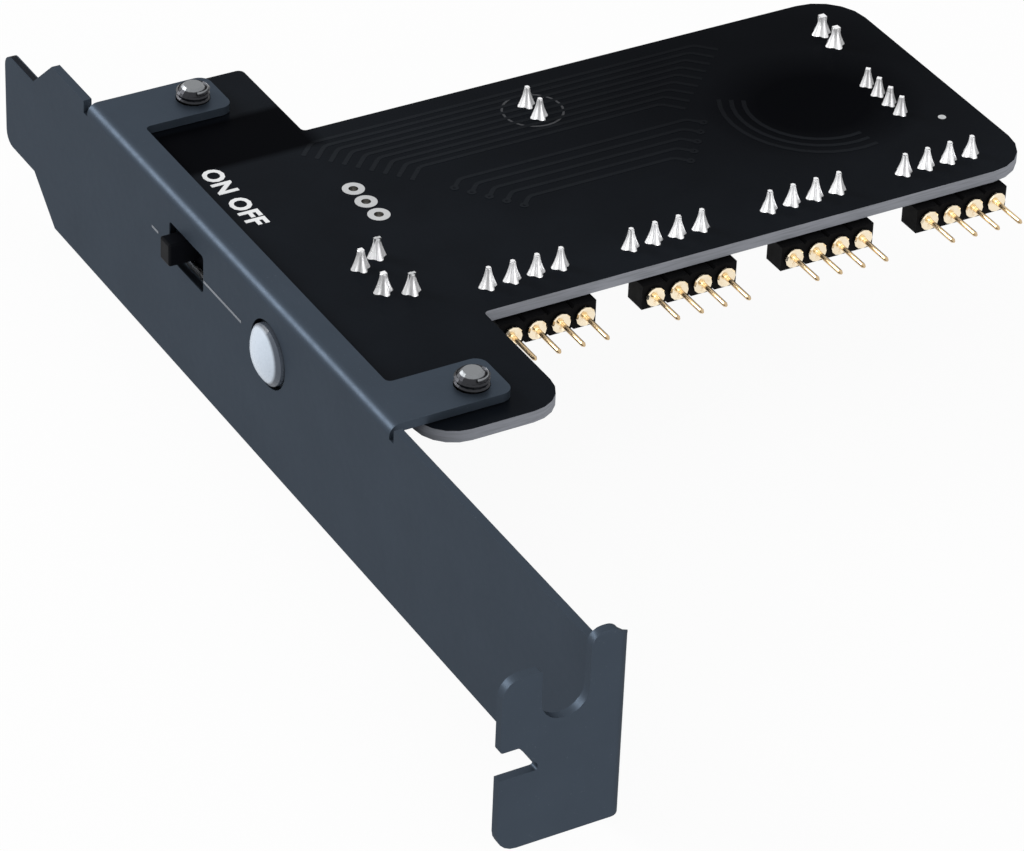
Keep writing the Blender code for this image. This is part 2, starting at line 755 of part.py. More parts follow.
def frame_leg_y(side):
    """Return the Y of the middle of one leg of the push switch's frame."""
    return BUTTON_Y + side * (PUSH_SWITCH_WIDTH / 2 + HOLE_GAP + FRAME_SHEET / 2)


def make_push_switch(stage):
    """Build the push switch: housing, frame, terminals, snap dome, plunger and the button's cap."""
    half_width = PUSH_SWITCH_WIDTH / 2
    half_height = PUSH_SWITCH_HEIGHT / 2
    low = BUTTON_Z - half_height
    high = BUTTON_Z + half_height
    front = PUSH_SWITCH_X
    back = front + PUSH_SWITCH_DEPTH
    plunger_bore = PLUNGER_DIAMETER + 2 * SLIDE_GAP
    dome_bore = DOME_DIAMETER + 2 * HOLE_GAP
    dome_back = front + PLUNGER_SEAT + BUTTON_TRAVEL + SLIDE_GAP + DOME_RISE + DOME_SHEET + SEAT_GAP
    cavity_front = front - SEAT_GAP
    body = block(front, back, BUTTON_Y - half_width, BUTTON_Y + half_width, low, high)
    bore = circle(BUTTON_Y, BUTTON_Z, max(plunger_bore, dome_bore))
    cavity = prism(bore, cavity_front, dome_back, (), ALONG_X)
    sockets = [terminal_socket(side) for side in (-1, 1)]
    body = cut(body, cavity, *sockets)
    stage.add("push_switch_housing", body, black_plastic(stage))
    make_push_frame(stage)
    terminal_top = BOARD_TOP + TAIL_RISE
    half = TERMINAL_SIDE / 2
    pin_foot = high - TERMINAL_SOCKET + SEAT_GAP
    for side, name in ((-1, "push_terminal_near"), (1, "push_terminal_far")):
        y = BUTTON_Y + side * TERMINAL_SPACING / 2
        pin = block(TERMINAL_X - half, TERMINAL_X + half, y - half, y + half, pin_foot, terminal_top)
        stage.add(name, pin, tin(stage))
    make_dome(stage, dome_back - SEAT_GAP)
    make_button(stage)


def terminal_socket(side):
    """Return the cutter of the hole in the housing that holds one terminal."""
    half = TERMINAL_SIDE / 2 + HOLE_GAP
    y = BUTTON_Y + side * TERMINAL_SPACING / 2
    top = BUTTON_Z + PUSH_SWITCH_HEIGHT / 2
    low = top - TERMINAL_SOCKET
    return block(TERMINAL_X - half, TERMINAL_X + half, y - half, y + half, low, top + SEAT_GAP)


def make_push_frame(stage):
    """Fold the push switch's steel frame: a front plate, two side arms and a leg from each arm."""
    half_height = PUSH_SWITCH_HEIGHT / 2
    arm_inner = PUSH_SWITCH_WIDTH / 2 + HOLE_GAP
    arm_outer = arm_inner + FRAME_SHEET
    plate_back = PUSH_SWITCH_X - SEAT_GAP
    plate_front = plate_back - FRAME_SHEET
    bore = circle(BUTTON_Y, BUTTON_Z, PLUNGER_DIAMETER + 2 * SLIDE_GAP)
    face = rectangle(BUTTON_Y - arm_outer, BUTTON_Y + arm_outer,
                     BUTTON_Z - half_height, BUTTON_Z + half_height)
    plate = prism(face, plate_front, plate_back, [bore], ALONG_X)
    leg = FRAME_LEG_WIDTH / 2
    arm_high = BUTTON_Z + half_height * 0.6
    arm_low = BUTTON_Z - half_height * 0.3
    leg_top = BOARD_TOP + TAIL_RISE
    outline = [(arm_low, plate_front), (arm_low, FRAME_LEG_X + leg), (leg_top, FRAME_LEG_X + leg),
               (leg_top, FRAME_LEG_X - leg), (arm_high, FRAME_LEG_X - leg), (arm_high, plate_front)]
    arms = [prism(outline, BUTTON_Y + low, BUTTON_Y + high, (), ALONG_Y)
            for low, high in ((-arm_outer, -arm_inner), (arm_inner, arm_outer))]
    stage.add("push_switch_frame", joined(plate, *arms), steel(stage))


def make_dome(stage, back):
    """Press the snap dome that pushes the plunger out again."""
    radius = DOME_DIAMETER / 2
    steps = CORNER_STEPS
    outer = []
    inner = []
    for step in range(steps + 1):
        share = step / steps
        rise = DOME_RISE * (1 - share * share)
        outer.append((radius * share, DOME_SHEET + rise))
        inner.append((radius * share, rise))
    profile = outer + list(reversed(inner))
    turn = Matrix.Rotation(-math.pi / 2, 4, "Y")
    dome = turned(profile, HOLE_SIDES, turn)
    stage.add("snap_dome", smooth(dome), steel(stage), (back, BUTTON_Y, BUTTON_Z))


def make_button(stage):
    """Turn the plunger and the cap that sits on its end."""
    axis = bpy.data.objects.new("button_axis", None)
    stage.parts.objects.link(axis)
    axis.parent = stage.frame
    axis.location = (0.0, BUTTON_Y, BUTTON_Z)
    into_part = Matrix.Rotation(-math.pi / 2, 4, "Y")
    cap = BUTTON_DIAMETER / 2
    socket = PLUNGER_DIAMETER / 2 + HOLE_GAP
    cap_back = BUTTON_LENGTH - BUTTON_STANDOUT
    socket_floor = BUTTON_SOCKET_FLOOR
    ball = (cap * cap + BUTTON_DOME * BUTTON_DOME) / (2 * BUTTON_DOME)
    centre = BUTTON_STANDOUT + BUTTON_DOME - ball
    reach = math.asin(cap / ball)
    angles = [reach * step / DOME_STEPS for step in range(DOME_STEPS + 1)]
    face = [(ball * math.sin(angle), centre + ball * math.cos(angle)) for angle in angles]
    flange = cap + BUTTON_FLANGE_WIDTH
    flange_front = -SHEET - SLIDE_GAP
    flange_back = flange_front - BUTTON_FLANGE_SHEET
    profile = [*face, (cap, flange_front), (flange, flange_front), (flange, flange_back),
               (cap, flange_back), (cap, -cap_back), (socket, -cap_back), (socket, -socket_floor),
               (0.0, -socket_floor)]
    cap_mesh = smooth(turned(profile, 2 * HOLE_SIDES, into_part))
    stage.add("button_cap", cap_mesh, pale_plastic(stage), parent=axis)
    stem = PLUNGER_DIAMETER / 2
    stem_front = -socket_floor - SEAT_GAP
    stem_back = -(PUSH_SWITCH_X + PLUNGER_SEAT)
    edge = PLUNGER_DIAMETER / 12
    profile = [(0.0, stem_front), (stem - edge, stem_front), (stem, stem_front - edge),
               (stem, stem_back + edge), (stem - edge, stem_back), (0.0, stem_back)]
    stem_mesh = smooth(turned(profile, HOLE_SIDES, into_part))
    stage.add("button_plunger", stem_mesh, black_plastic(stage), parent=axis)


# Slide switch

def shell_back():
    """Return the X of the open back of the slide switch's shell."""
    return SHELL_FRONT + SLIDE_SWITCH_DEPTH


def make_slide_switch(stage):
    """Build the slide switch: shell, base, terminals, contact and lever."""
    half_width = SLIDE_SWITCH_WIDTH / 2
    half_height = SLIDE_SWITCH_HEIGHT / 2
    y_low = SLIDE_SWITCH_Y - half_width
    y_high = SLIDE_SWITCH_Y + half_width
    z_low = SWITCH_Z - half_height
    z_high = SWITCH_Z + half_height
    inner_front = SHELL_FRONT + SHELL_SHEET
    shell = block(SHELL_FRONT, shell_back(), y_low, y_high, z_low, z_high)
    hollow = block(inner_front, shell_back() + SHEET, y_low + SHELL_SHEET, y_high - SHELL_SHEET,
                   z_low + SHELL_SHEET, z_high - SHELL_SHEET)
    slot_half = LEVER_TRAVEL / 2 + LEVER_WIDTH / 2 + SLIDE_GAP
    slot_height = LEVER_HEIGHT / 2 + SLIDE_GAP
    slot = block(SHELL_FRONT - SHEET, inner_front + SHEET, SLIDE_SWITCH_Y - slot_half,
                 SLIDE_SWITCH_Y + slot_half, SWITCH_Z - slot_height, SWITCH_Z + slot_height)
    stage.add("slide_switch_shell", cut(shell, hollow, slot), steel(stage))

    slider_front = inner_front + SLIDE_GAP
    slider_back = slider_front + SLIDER_DEPTH
    contact_back = slider_back + SEAT_GAP + CONTACT_SHEET
    base_front = contact_back + SLIDE_GAP
    wall = SHELL_SHEET + HOLE_GAP
    base = block(base_front, shell_back() + SHELL_SHEET, y_low + wall, y_high - wall,
                 z_low + wall, z_high - wall)
    stage.add("slide_switch_base", base, black_plastic(stage))
    leg_half = SLIDE_LEG_WIDTH / 2
    leg_high = UNDER_BOARD
    leg_low = leg_high - SLIDE_LEG_SHEET
    leg_start = shell_back() + SHELL_SHEET + SEAT_GAP
    leg_face = leg_start + SLIDE_LEG_SHEET
    foot_end = leg_start + SLIDE_LEG_LENGTH
    outline = [(SWITCH_Z, leg_start), (SWITCH_Z, leg_face), (leg_low, leg_face),
               (leg_low, foot_end), (leg_high, foot_end), (leg_high, leg_start)]
    for number, offset in enumerate((-PITCH, 0.0, PITCH), start=1):
        y = SLIDE_SWITCH_Y + offset
        leg = prism(outline, y - leg_half, y + leg_half, (), ALONG_Y)
        stage.add(f"slide_terminal_{number}", leg, tin(stage))

    axis = bpy.data.objects.new("lever_axis", None)
    stage.parts.objects.link(axis)
    axis.parent = stage.frame
    axis.location = (0.0, LEVER_Y, SWITCH_Z)
    slider_half = SLIDER_WIDTH / 2
    slider_height = SLIDE_SWITCH_HEIGHT / 2 - SHELL_SHEET - SLIDE_GAP
    knob = block(-LEVER_STANDOUT, slider_front + SLIDER_DEPTH / 2, -LEVER_WIDTH / 2, LEVER_WIDTH / 2,
                 -LEVER_HEIGHT / 2, LEVER_HEIGHT / 2)
    slider = block(slider_front, slider_back, -slider_half, slider_half, -slider_height, slider_height)
    lever = joined(slider, bevelled(knob, LEVER_ROUND))
    stage.add("slide_lever", lever, black_plastic(stage), parent=axis)
    contact_half = PITCH / 2 + SLIDE_LEG_WIDTH / 2
    contact = block(slider_back + SEAT_GAP, contact_back, -contact_half, contact_half,
                    -LEVER_HEIGHT / 4, LEVER_HEIGHT / 4)
    stage.add("slide_contact", contact, steel(stage), parent=axis)


# Capacitor

def make_capacitor(stage):
    """Stand the capacitor on its head under the board: can, rubber seal and two leads."""
    radius = CAPACITOR_DIAMETER / 2
    wall = CAPACITOR_WALL
    top = 0.0
    low = top - CAPACITOR_HEIGHT
    neck = top - SEAL_HEIGHT * 0.7
    edge = CAPACITOR_WALL * 2
    seal_floor = top - SEAL_HEIGHT - SEAT_GAP
    profile = [(radius - wall, top), (radius, top), (radius, neck + edge), (radius - CAPACITOR_NECK, neck),
               (radius, neck - edge), (radius, low + edge), (radius - edge, low), (0.0, low)]
    throat = radius - wall - CAPACITOR_NECK
    inside = [(0.0, seal_floor), (throat - HOLE_GAP, seal_floor), (throat - HOLE_GAP, neck - edge),
              (throat, neck), (radius - wall, top)]
    can = smooth(turned(inside + profile[1:], 2 * SMALL_SIDES))
    place = (CAPACITOR_X, CAPACITOR_Y, UNDER_BOARD)
    stage.add("capacitor_can", can, sleeve(stage), place)
    seal_outline = circle(0.0, 0.0, 2 * (throat - 2 * HOLE_GAP))
    lead_hole = LEAD_DIAMETER + 2 * HOLE_GAP
    lead_holes = [circle(0.0, side * CAPACITOR_PITCH / 2, lead_hole, SMALL_SIDES) for side in (-1, 1)]
    seal = prism(seal_outline, top - SEAL_HEIGHT, top, lead_holes)
    stage.add("capacitor_seal", smooth(seal), rubber(stage), place)
    for side, name in ((-1, "capacitor_lead_near"), (1, "capacitor_lead_far")):
        y = CAPACITOR_Y + side * CAPACITOR_PITCH / 2
        bottom = UNDER_BOARD - SEAL_HEIGHT
        lead = wire([(CAPACITOR_X, y, bottom), (CAPACITOR_X, y, BOARD_TOP + TAIL_RISE)], LEAD_DIAMETER)
        stage.add(name, smooth(lead), tin(stage))


# Power inlet

def make_inlet(stage):
    """Mould the two-pin inlet with its locking wall, and fit its pins."""
    half = PITCH
    side_half = INLET_PIN_SIDE / 2
    bore = side_half + HOLE_GAP
    top = UNDER_BOARD
    depth = INLET_DEPTH / 2
    foot = block(-depth, depth, -half, half, top - INLET_HEIGHT, top)
    wall = block(depth - INLET_WALL, depth, -half * 0.6, half * 0.6,
                 top - INLET_WALL_HEIGHT, top - INLET_HEIGHT / 2)
    bores = [block(-bore, bore, y - bore, y + bore, top - 2 * INLET_HEIGHT, top + SHEET)
             for y in (-PITCH / 2, PITCH / 2)]
    housing = cut(joined(foot, wall), *bores)
    stage.add("inlet_housing", housing, pale_plastic(stage), (INLET_X, INLET_Y, 0.0))
    for side, name in ((-1, "inlet_pin_near"), (1, "inlet_pin_far")):
        y = INLET_Y + side * PITCH / 2
        low = top - INLET_HEIGHT - INLET_PIN_LENGTH
        pin = block(INLET_X - side_half, INLET_X + side_half, y - side_half, y + side_half,
                    low, BOARD_TOP + TAIL_RISE)
        stage.add(name, pin, tin(stage))


# Flat parts on the underside

def leg_block(x, y, width, reach, side, height):
    """Return one flat leg that reaches from a chip's long side to the board."""
    y0, y1 = sorted((y, y + side * reach))
    return block(x - width / 2, x + width / 2, y0, y1, UNDER_BOARD - height, UNDER_BOARD)


def make_chip(stage, name, x, y, length, width, height, leg_xs, reach, leg_width):
    """Mould one chip under the board, with its legs at the given offsets on both long sides."""
    top = UNDER_BOARD - CHIP_LEG_SHEET / 2
    body = block(x - length / 2, x + length / 2, y - width / 2, y + width / 2, top - height, top)
    bite = width / 10
    legs = []
    for side, offsets in leg_xs.items():
        for offset in offsets:
            start = y + side * (width / 2 - bite)
            legs.append(leg_block(x + offset, start, leg_width, reach + bite, side, height * 0.45))
    mesh = joined(body, *legs)
    stage.add(name, mesh, black_plastic(stage))


def make_chips(stage):
    """Fit the controller, one driver for each colour, the regulator and the resistors."""
    offsets = [(k - (CHIP_LEGS - 1) / 2) * CHIP_LEG_PITCH for k in range(CHIP_LEGS)]
    make_chip(stage, "controller_chip", CHIP_X, CHIP_Y, CHIP_LENGTH, CHIP_WIDTH, CHIP_HEIGHT,
              {-1: offsets, 1: offsets}, CHIP_LEG_REACH, CHIP_LEG_WIDTH)
    pair = (-DRIVER_LENGTH / 3, DRIVER_LENGTH / 3)
    for number in range(3):
        x = DRIVER_X + number * DRIVER_SPACING
        make_chip(stage, f"driver_{number + 1}", x, DRIVER_Y, DRIVER_LENGTH, DRIVER_WIDTH, DRIVER_HEIGHT,
                  {-1: pair, 1: (0.0,)}, DRIVER_LEG_REACH, CHIP_LEG_WIDTH)
        y = DRIVER_Y + RESISTOR_OFFSET_Y
        chip = block(x - RESISTOR_LENGTH / 2, x + RESISTOR_LENGTH / 2, y - RESISTOR_WIDTH / 2,
                     y + RESISTOR_WIDTH / 2, UNDER_BOARD - RESISTOR_HEIGHT, UNDER_BOARD)
        stage.add(f"resistor_{number + 1}", chip, resistor_ceramic(stage))
    row = (-REGULATOR_LENGTH / 3, 0.0, REGULATOR_LENGTH / 3)
    make_chip(stage, "regulator", REGULATOR_X, REGULATOR_Y, REGULATOR_LENGTH, REGULATOR_WIDTH,
              REGULATOR_HEIGHT, {-1: row, 1: (0.0,)}, CHIP_LEG_REACH, CHIP_LEG_WIDTH)


def main():
    """Build every sub-part."""
    stage = Stage()
    make_bracket(stage)
    make_board(stage)
    make_headers(stage)
    make_screws(stage)
    make_push_switch(stage)
    make_slide_switch(stage)
    make_capacitor(stage)
    make_inlet(stage)
    make_chips(stage)


main()
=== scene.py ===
"""Looks of a control board for coloured light strips, on a slot bracket of a computer case.

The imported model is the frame. The classes below dress its nodes and add what its solids leave out: solder
joints, plated rings, copper traces under the mask, printed marks, screw threads and the chips' metal legs.
Lengths are in metres, in the frame's own directions: X runs inwards from the plate, Y along it and Z up.
"""

import logging
import math
from collections.abc import Callable, Sequence
from dataclasses import dataclass, field
from enum import Enum

import bmesh
import bpy
from mathutils import Matrix, Vector

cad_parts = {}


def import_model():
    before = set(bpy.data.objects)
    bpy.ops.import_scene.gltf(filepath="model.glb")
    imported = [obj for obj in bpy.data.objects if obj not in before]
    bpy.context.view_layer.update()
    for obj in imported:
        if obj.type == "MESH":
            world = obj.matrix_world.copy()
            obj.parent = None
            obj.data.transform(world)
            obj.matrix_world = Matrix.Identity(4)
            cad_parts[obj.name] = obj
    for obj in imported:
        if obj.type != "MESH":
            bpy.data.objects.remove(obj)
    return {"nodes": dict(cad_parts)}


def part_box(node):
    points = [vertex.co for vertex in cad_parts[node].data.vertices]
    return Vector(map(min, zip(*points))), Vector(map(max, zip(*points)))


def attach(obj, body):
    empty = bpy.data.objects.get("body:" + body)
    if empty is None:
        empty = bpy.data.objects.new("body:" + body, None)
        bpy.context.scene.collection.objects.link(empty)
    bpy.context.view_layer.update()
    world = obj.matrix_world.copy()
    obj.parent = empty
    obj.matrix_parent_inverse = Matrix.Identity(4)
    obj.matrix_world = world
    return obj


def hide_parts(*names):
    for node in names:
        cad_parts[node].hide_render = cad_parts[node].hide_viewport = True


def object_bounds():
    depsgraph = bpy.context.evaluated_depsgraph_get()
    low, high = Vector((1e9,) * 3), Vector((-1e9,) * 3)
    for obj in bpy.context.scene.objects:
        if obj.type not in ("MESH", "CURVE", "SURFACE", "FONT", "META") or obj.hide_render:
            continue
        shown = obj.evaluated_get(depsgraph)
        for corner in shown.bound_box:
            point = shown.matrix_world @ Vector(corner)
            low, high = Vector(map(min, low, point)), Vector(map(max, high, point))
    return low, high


FRAME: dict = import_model()
MODEL_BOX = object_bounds()

LOG = logging.getLogger("led_strip_adapter")

# Edges that bend more than SHARP are rounded or shaded sharp, rounded meshes only past SMOOTH
SHARP = math.radians(35)
SMOOTH = math.radians(60)

# Corners of loose triangles that lie nearer than this become one
MERGE = 1e-6

Colour = tuple[float, float, float]
Point = tuple[float, float, float]


class Body(Enum):
    """The body of the frame that every new piece rides on."""

    ADAPTER = "adapter"


class Slot(Enum):
    """The record's material slots; new pieces are named with one, but nothing reads it."""

    PAINT = "bracket_paint"
    BOARD = "board_black"
    PLASTIC = "black_plastic"
    STEEL = "plated_steel"
    TIN = "tinned_lead"


@dataclass(frozen=True)
class Zone:
    """A darker, duller part of the board's mask. Two zones are painted shade; one is a disc with no copper
    under it.

    Attributes:
        middle: Its middle along X and Y.
        half: Half its size along X and Y.
        round: True for an ellipse, False for a rectangle.
        border: The share of its size over which it fades.
        strength: How much of the darker colour shows in its middle.
    """

    middle: tuple[float, float]
    half: tuple[float, float]
    round: bool = False
    border: float = 0.15
    strength: float = 1.0


# Finishes


class Graph:
    """A material's node tree, with the few steps that every finish here is made of."""

    def __init__(self, name: str) -> None:
        """Make the material and its shader.

        Args:
            name: The material's name.
        """
        self.material = bpy.data.materials.new(name)
        self.material.use_nodes = True
        self.nodes = self.material.node_tree.nodes
        self.links = self.material.node_tree.links
        self.shader = self.nodes["Principled BSDF"]
        self.place = self.nodes.new("ShaderNodeTexCoord").outputs["Object"]

    def stretched(self, scale: Point, centre: Point = (0.0, 0.0, 0.0)) -> bpy.types.NodeSocket:
        """Return the object's coordinates, moved to a centre and then scaled along each axis.

        Args:
            scale: The factor along X, Y and Z.
            centre: The point that becomes the pattern's origin.

        Returns:
            The socket with the changed coordinates.
        """
        moved = self.nodes.new("ShaderNodeVectorMath")
        moved.operation = "SUBTRACT"
        moved.inputs[1].default_value = centre
        self.links.new(self.place, moved.inputs[0])
        scaled = self.nodes.new("ShaderNodeVectorMath")
        scaled.operation = "MULTIPLY"
        scaled.inputs[1].default_value = scale
        self.links.new(moved.outputs[0], scaled.inputs[0])
        return scaled.outputs[0]

    def noise(self, scale: float, detail: float = 2.0,
              where: bpy.types.NodeSocket | None = None) -> bpy.types.NodeSocket:
        """Return a noise value from 0 to 1.

        Args:
            scale: Blotches per metre.
            detail: Octaves of finer noise.
            where: Coordinates to read, or the object's own.

        Returns:
            The noise's value socket.
        """
        made = self.nodes.new("ShaderNodeTexNoise")
        made.inputs["Scale"].default_value = scale
        made.inputs["Detail"].default_value = detail
        self.links.new(where or self.place, made.inputs["Vector"])
        return made.outputs["Fac"]

    def spread(self, value: bpy.types.NodeSocket, low: float, high: float,
               start: float = 0.3, end: float = 0.7) -> bpy.types.NodeSocket:
        """Return a value carried from one range to another.

        Args:
            value: The socket to read.
            low: The result at the range's start.
            high: The result at the range's end.
            start: Where the range starts.
            end: Where the range ends.

        Returns:
            The socket with the carried value.
        """
        made = self.nodes.new("ShaderNodeMapRange")
        made.inputs["From Min"].default_value = start
        made.inputs["From Max"].default_value = end
        made.inputs["To Min"].default_value = low
        made.inputs["To Max"].default_value = high
        self.links.new(value, made.inputs["Value"])
        return made.outputs["Result"]

    def math(self, operation: str, first: bpy.types.NodeSocket,
             second: bpy.types.NodeSocket | float = 0.0) -> bpy.types.NodeSocket:
        """Return the result of one sum on two values.

        Args:
            operation: The Math node's operation.
            first: The first value.
            second: The second value, a socket or a number.

        Returns:
            The result's socket.
        """
        made = self.nodes.new("ShaderNodeMath")
        made.operation = operation
        self.links.new(first, made.inputs[0])
        if isinstance(second, bpy.types.NodeSocket):
            self.links.new(second, made.inputs[1])
        else:
            made.inputs[1].default_value = second
        return made.outputs[0]

    def blend(self, share: bpy.types.NodeSocket, first: Colour | bpy.types.NodeSocket,
              second: Colour | bpy.types.NodeSocket) -> bpy.types.NodeSocket:
        """Return a mix of two colours.

        Args:
            share: How much of the second colour shows, from 0 to 1.
            first: The colour at 0.
            second: The colour at 1.

        Returns:
            The mixed colour's socket.
        """
        made = self.nodes.new("ShaderNodeMix")
        made.data_type = "RGBA"
        self.links.new(share, made.inputs["Factor"])
        for socket, colour in ((made.inputs[6], first), (made.inputs[7], second)):
            if isinstance(colour, bpy.types.NodeSocket):
                self.links.new(colour, socket)
            else:
                socket.default_value = (*colour, 1.0)
        return made.outputs[2]

    def axes(self, where: bpy.types.NodeSocket | None = None) -> list[bpy.types.NodeSocket]:
        """Return the X, Y and Z of a vector, or of the object's own coordinates."""
        made = self.nodes.new("ShaderNodeSeparateXYZ")
        self.links.new(where or self.place, made.inputs[0])
        return list(made.outputs)

    def length(self, where: bpy.types.NodeSocket) -> bpy.types.NodeSocket:
        """Return the length of a vector."""
        made = self.nodes.new("ShaderNodeVectorMath")
        made.operation = "LENGTH"
        self.links.new(where, made.inputs[0])
        return made.outputs["Value"]

    def patch(self, zone: Zone) -> bpy.types.NodeSocket:
        """Return 1 inside a zone of the board and 0 outside it, with a soft border.

        Args:
            zone: The zone.

        Returns:
            The share's socket.
        """
        middle_x, middle_y = zone.middle
        half_x, half_y = zone.half
        near = self.stretched((1.0 / half_x, 1.0 / half_y, 0.0), (middle_x, middle_y, 0.0))
        if zone.round:
            reach = self.length(near)
        else:
            across, along, _ = self.axes(near)
            reach = self.math("MAXIMUM", self.math("ABSOLUTE", across), self.math("ABSOLUTE", along))
        return self.spread(reach, zone.strength, 0.0, 1.0 - zone.border, 1.0 + zone.border)

    def bump(self, height: bpy.types.NodeSocket, distance: float) -> None:
        """Let a height value tilt the surface.

        Args:
            height: The height, from 0 to 1.
            distance: The depth that 1 stands for.
        """
        made = self.nodes.new("ShaderNodeBump")
        made.inputs["Strength"].default_value = 1.0
        made.inputs["Distance"].default_value = distance
        self.links.new(height, made.inputs["Height"])
        self.links.new(made.outputs["Normal"], self.shader.inputs["Normal"])

    def colour(self, value: bpy.types.NodeSocket) -> None:
        """Paint the surface with a colour socket."""
        self.links.new(value, self.shader.inputs["Base Color"])

    def roughness(self, value: bpy.types.NodeSocket) -> None:
        """Let a value set the surface's roughness."""
        self.links.new(value, self.shader.inputs["Roughness"])


@dataclass(frozen=True)
class Finish:
    """A surface with slight changes of tone and gloss and a fine grain.

    Attributes:
        name: The material's name.
        tone: The main colour, linear.
        shade: How much darker and lighter the tone drifts, as a share.
        gloss: The lowest and highest roughness.
        metallic: 1 for bare metal.
        specular: The strength of the reflection of a surface that isn't metal.
        grain: Grains per metre.
        depth: The grain's depth in metres.
        edge: How much of the full reflection a metal keeps at a glancing view.
        drift: Changes of tone per metre.
        wear: Changes of gloss per metre.
    """

    name: str
    tone: Colour
    shade: float = 0.08
    gloss: tuple[float, float] = (0.4, 0.5)
    metallic: float = 0.0
    specular: float = 0.5
    grain: float = 5000.0
    depth: float = 0.000004
    edge: float = 1.0
    drift: float = 140.0
    wear: float = 900.0

    def scaled_tone(self, factor: float) -> Colour:
        """Return the tone, darker or lighter by a factor."""
        red, green, blue = self.tone
        return (min(red * factor, 1.0), min(green * factor, 1.0), min(blue * factor, 1.0))

    def base(self, graph: Graph) -> bpy.types.NodeSocket:
        """Return the colour socket of the plain surface.

        Args:
            graph: The graph to build in.

        Returns:
            The colour's socket.
        """
        change = graph.spread(graph.noise(self.drift, detail=3.0), 0.0, 1.0)
        return graph.blend(change, self.scaled_tone(1.0 - self.shade), self.scaled_tone(1.0 + self.shade))

    def pattern(self, graph: Graph, colour: bpy.types.NodeSocket) -> bpy.types.NodeSocket:
        """Return the colour with this finish's own marks; the plain finish has none."""
        return colour

    def relief(self, graph: Graph) -> bpy.types.NodeSocket:
        """Return the height of the surface's grain."""
        return graph.noise(self.grain, detail=3.0)

    def material(self) -> bpy.types.Material:
        """Return the material, made at its first use.

        Returns:
            The material of this finish.
        """
        known = bpy.data.materials.get(self.name + "_dress")
        if known is not None:
            return known
        graph = Graph(self.name + "_dress")
        graph.shader.inputs["Metallic"].default_value = self.metallic
        graph.shader.inputs["Specular IOR Level"].default_value = self.specular
        graph.shader.inputs["Specular Tint"].default_value = (self.edge, self.edge, self.edge, 1.0)
        graph.colour(self.pattern(graph, self.base(graph)))
        graph.roughness(graph.spread(graph.noise(self.wear, detail=4.0), *self.gloss))
        graph.bump(self.relief(graph), self.depth)
        return graph.material


@dataclass(frozen=True)
class PaintedSheet(Finish):
    """Satin paint on sheet steel: a fine orange peel, a few paler specks, and painted shade on its cut faces.

    Attributes:
        speck: The colour of the specks of dust.
        cut_shade: The painted shade on the plate's cut faces, darker than the paint.
        core: The lowest and highest X inside the plate's sheet, which only a cut face shows.
        fold: The height at which the sheet starts to fold over.
        corner: Where the sheet turns into the screw tab, along Y.
        dust: Specks per metre.
        dust_share: How much of the speck's colour shows.
        dust_range: The noise between which a speck fades in.
    """

    speck: Colour = (0.14, 0.16, 0.19)
    # Painted shade: the plate's cut faces get this darker colour
    cut_shade: Colour = (0.014, 0.017, 0.023)
    core: tuple[float, float] = (0.00568, 0.00628)
    fold: float = 0.0072
    corner: float = 0.0012
    dust: float = 5200.0
    dust_share: float = 0.30
    dust_range: tuple[float, float] = (0.72, 0.80)

    def pattern(self, graph: Graph, colour: bpy.types.NodeSocket) -> bpy.types.NodeSocket:
        """Return the paint with its specks, and painted shade on the cut faces.

        Args:
            graph: The graph to build in.
            colour: The plain paint.

        Returns:
            The colour's socket.
        """
        dots = graph.spread(graph.noise(self.dust, detail=1.0), 0.0, self.dust_share, *self.dust_range)
        dusty = graph.blend(dots, colour, self.speck)
        across, along, up = graph.axes()
        # Painted shade on the cut faces inside the plate's sheet, below the fold and past the screw tab
        inside = graph.math("MULTIPLY", graph.math("GREATER_THAN", across, self.core[0]),
                            graph.math("LESS_THAN", across, self.core[1]))
        flat = graph.math("MULTIPLY", graph.math("LESS_THAN", up, self.fold),
                          graph.math("GREATER_THAN", along, self.corner))
        return graph.blend(graph.math("MULTIPLY", inside, flat), dusty, self.cut_shade)


@dataclass(frozen=True)
class SolderMask(Finish):
    """Black mask over copper: the weave of the glass cloth shows as a very fine relief.

    Attributes:
        weave: The width of two threads of the cloth.
        weave_share: The cloth's part in the relief.
        unevenness: Dents per metre.
        bare: The colour of the zones, both of painted shade and of mask with no copper under it.
        dulling: How much of the reflection such a part loses; in the shade zones this is painted shade as
            well.
        zones: Those parts of the board.
    """

    weave: float = 0.0006
    weave_share: float = 0.25
    unevenness: float = 700.0
    bare: Colour = (0.0022, 0.0024, 0.0032)
    dulling: float = 0.85
    zones: tuple[Zone, ...] = ()

    def pattern(self, graph: Graph, colour: bpy.types.NodeSocket) -> bpy.types.NodeSocket:
        """Return the mask, darker and duller in its zones: painted shade, and where no copper lies under it.

        Args:
            graph: The graph to build in.
            colour: The mask over copper.

        Returns:
            The colour's socket.
        """
        sheen: bpy.types.NodeSocket | float = self.specular
        for zone in self.zones:
            share = graph.patch(zone)
            colour = graph.blend(share, colour, self.bare)
            left = graph.math("SUBTRACT", graph.math("MULTIPLY", share, -self.dulling), -1.0)
            sheen = graph.math("MULTIPLY", left, sheen)
        if self.zones:
            graph.links.new(sheen, graph.shader.inputs["Specular IOR Level"])
        return colour

    def relief(self, graph: Graph) -> bpy.types.NodeSocket:
        """Return the height of the woven cloth, with a little unevenness.

        Args:
            graph: The graph to build in.

        Returns:
            The height's socket.
        """
        turn = 2.0 * math.pi / self.weave
        across, along, _ = graph.axes()
        first = graph.math("SINE", graph.math("MULTIPLY", across, turn))
        second = graph.math("SINE", graph.math("MULTIPLY", along, turn))
        cloth = graph.math("MULTIPLY", first, second)
        return graph.math("ADD", graph.math("MULTIPLY", cloth, self.weave_share),
                          graph.noise(self.unevenness, detail=4.0))


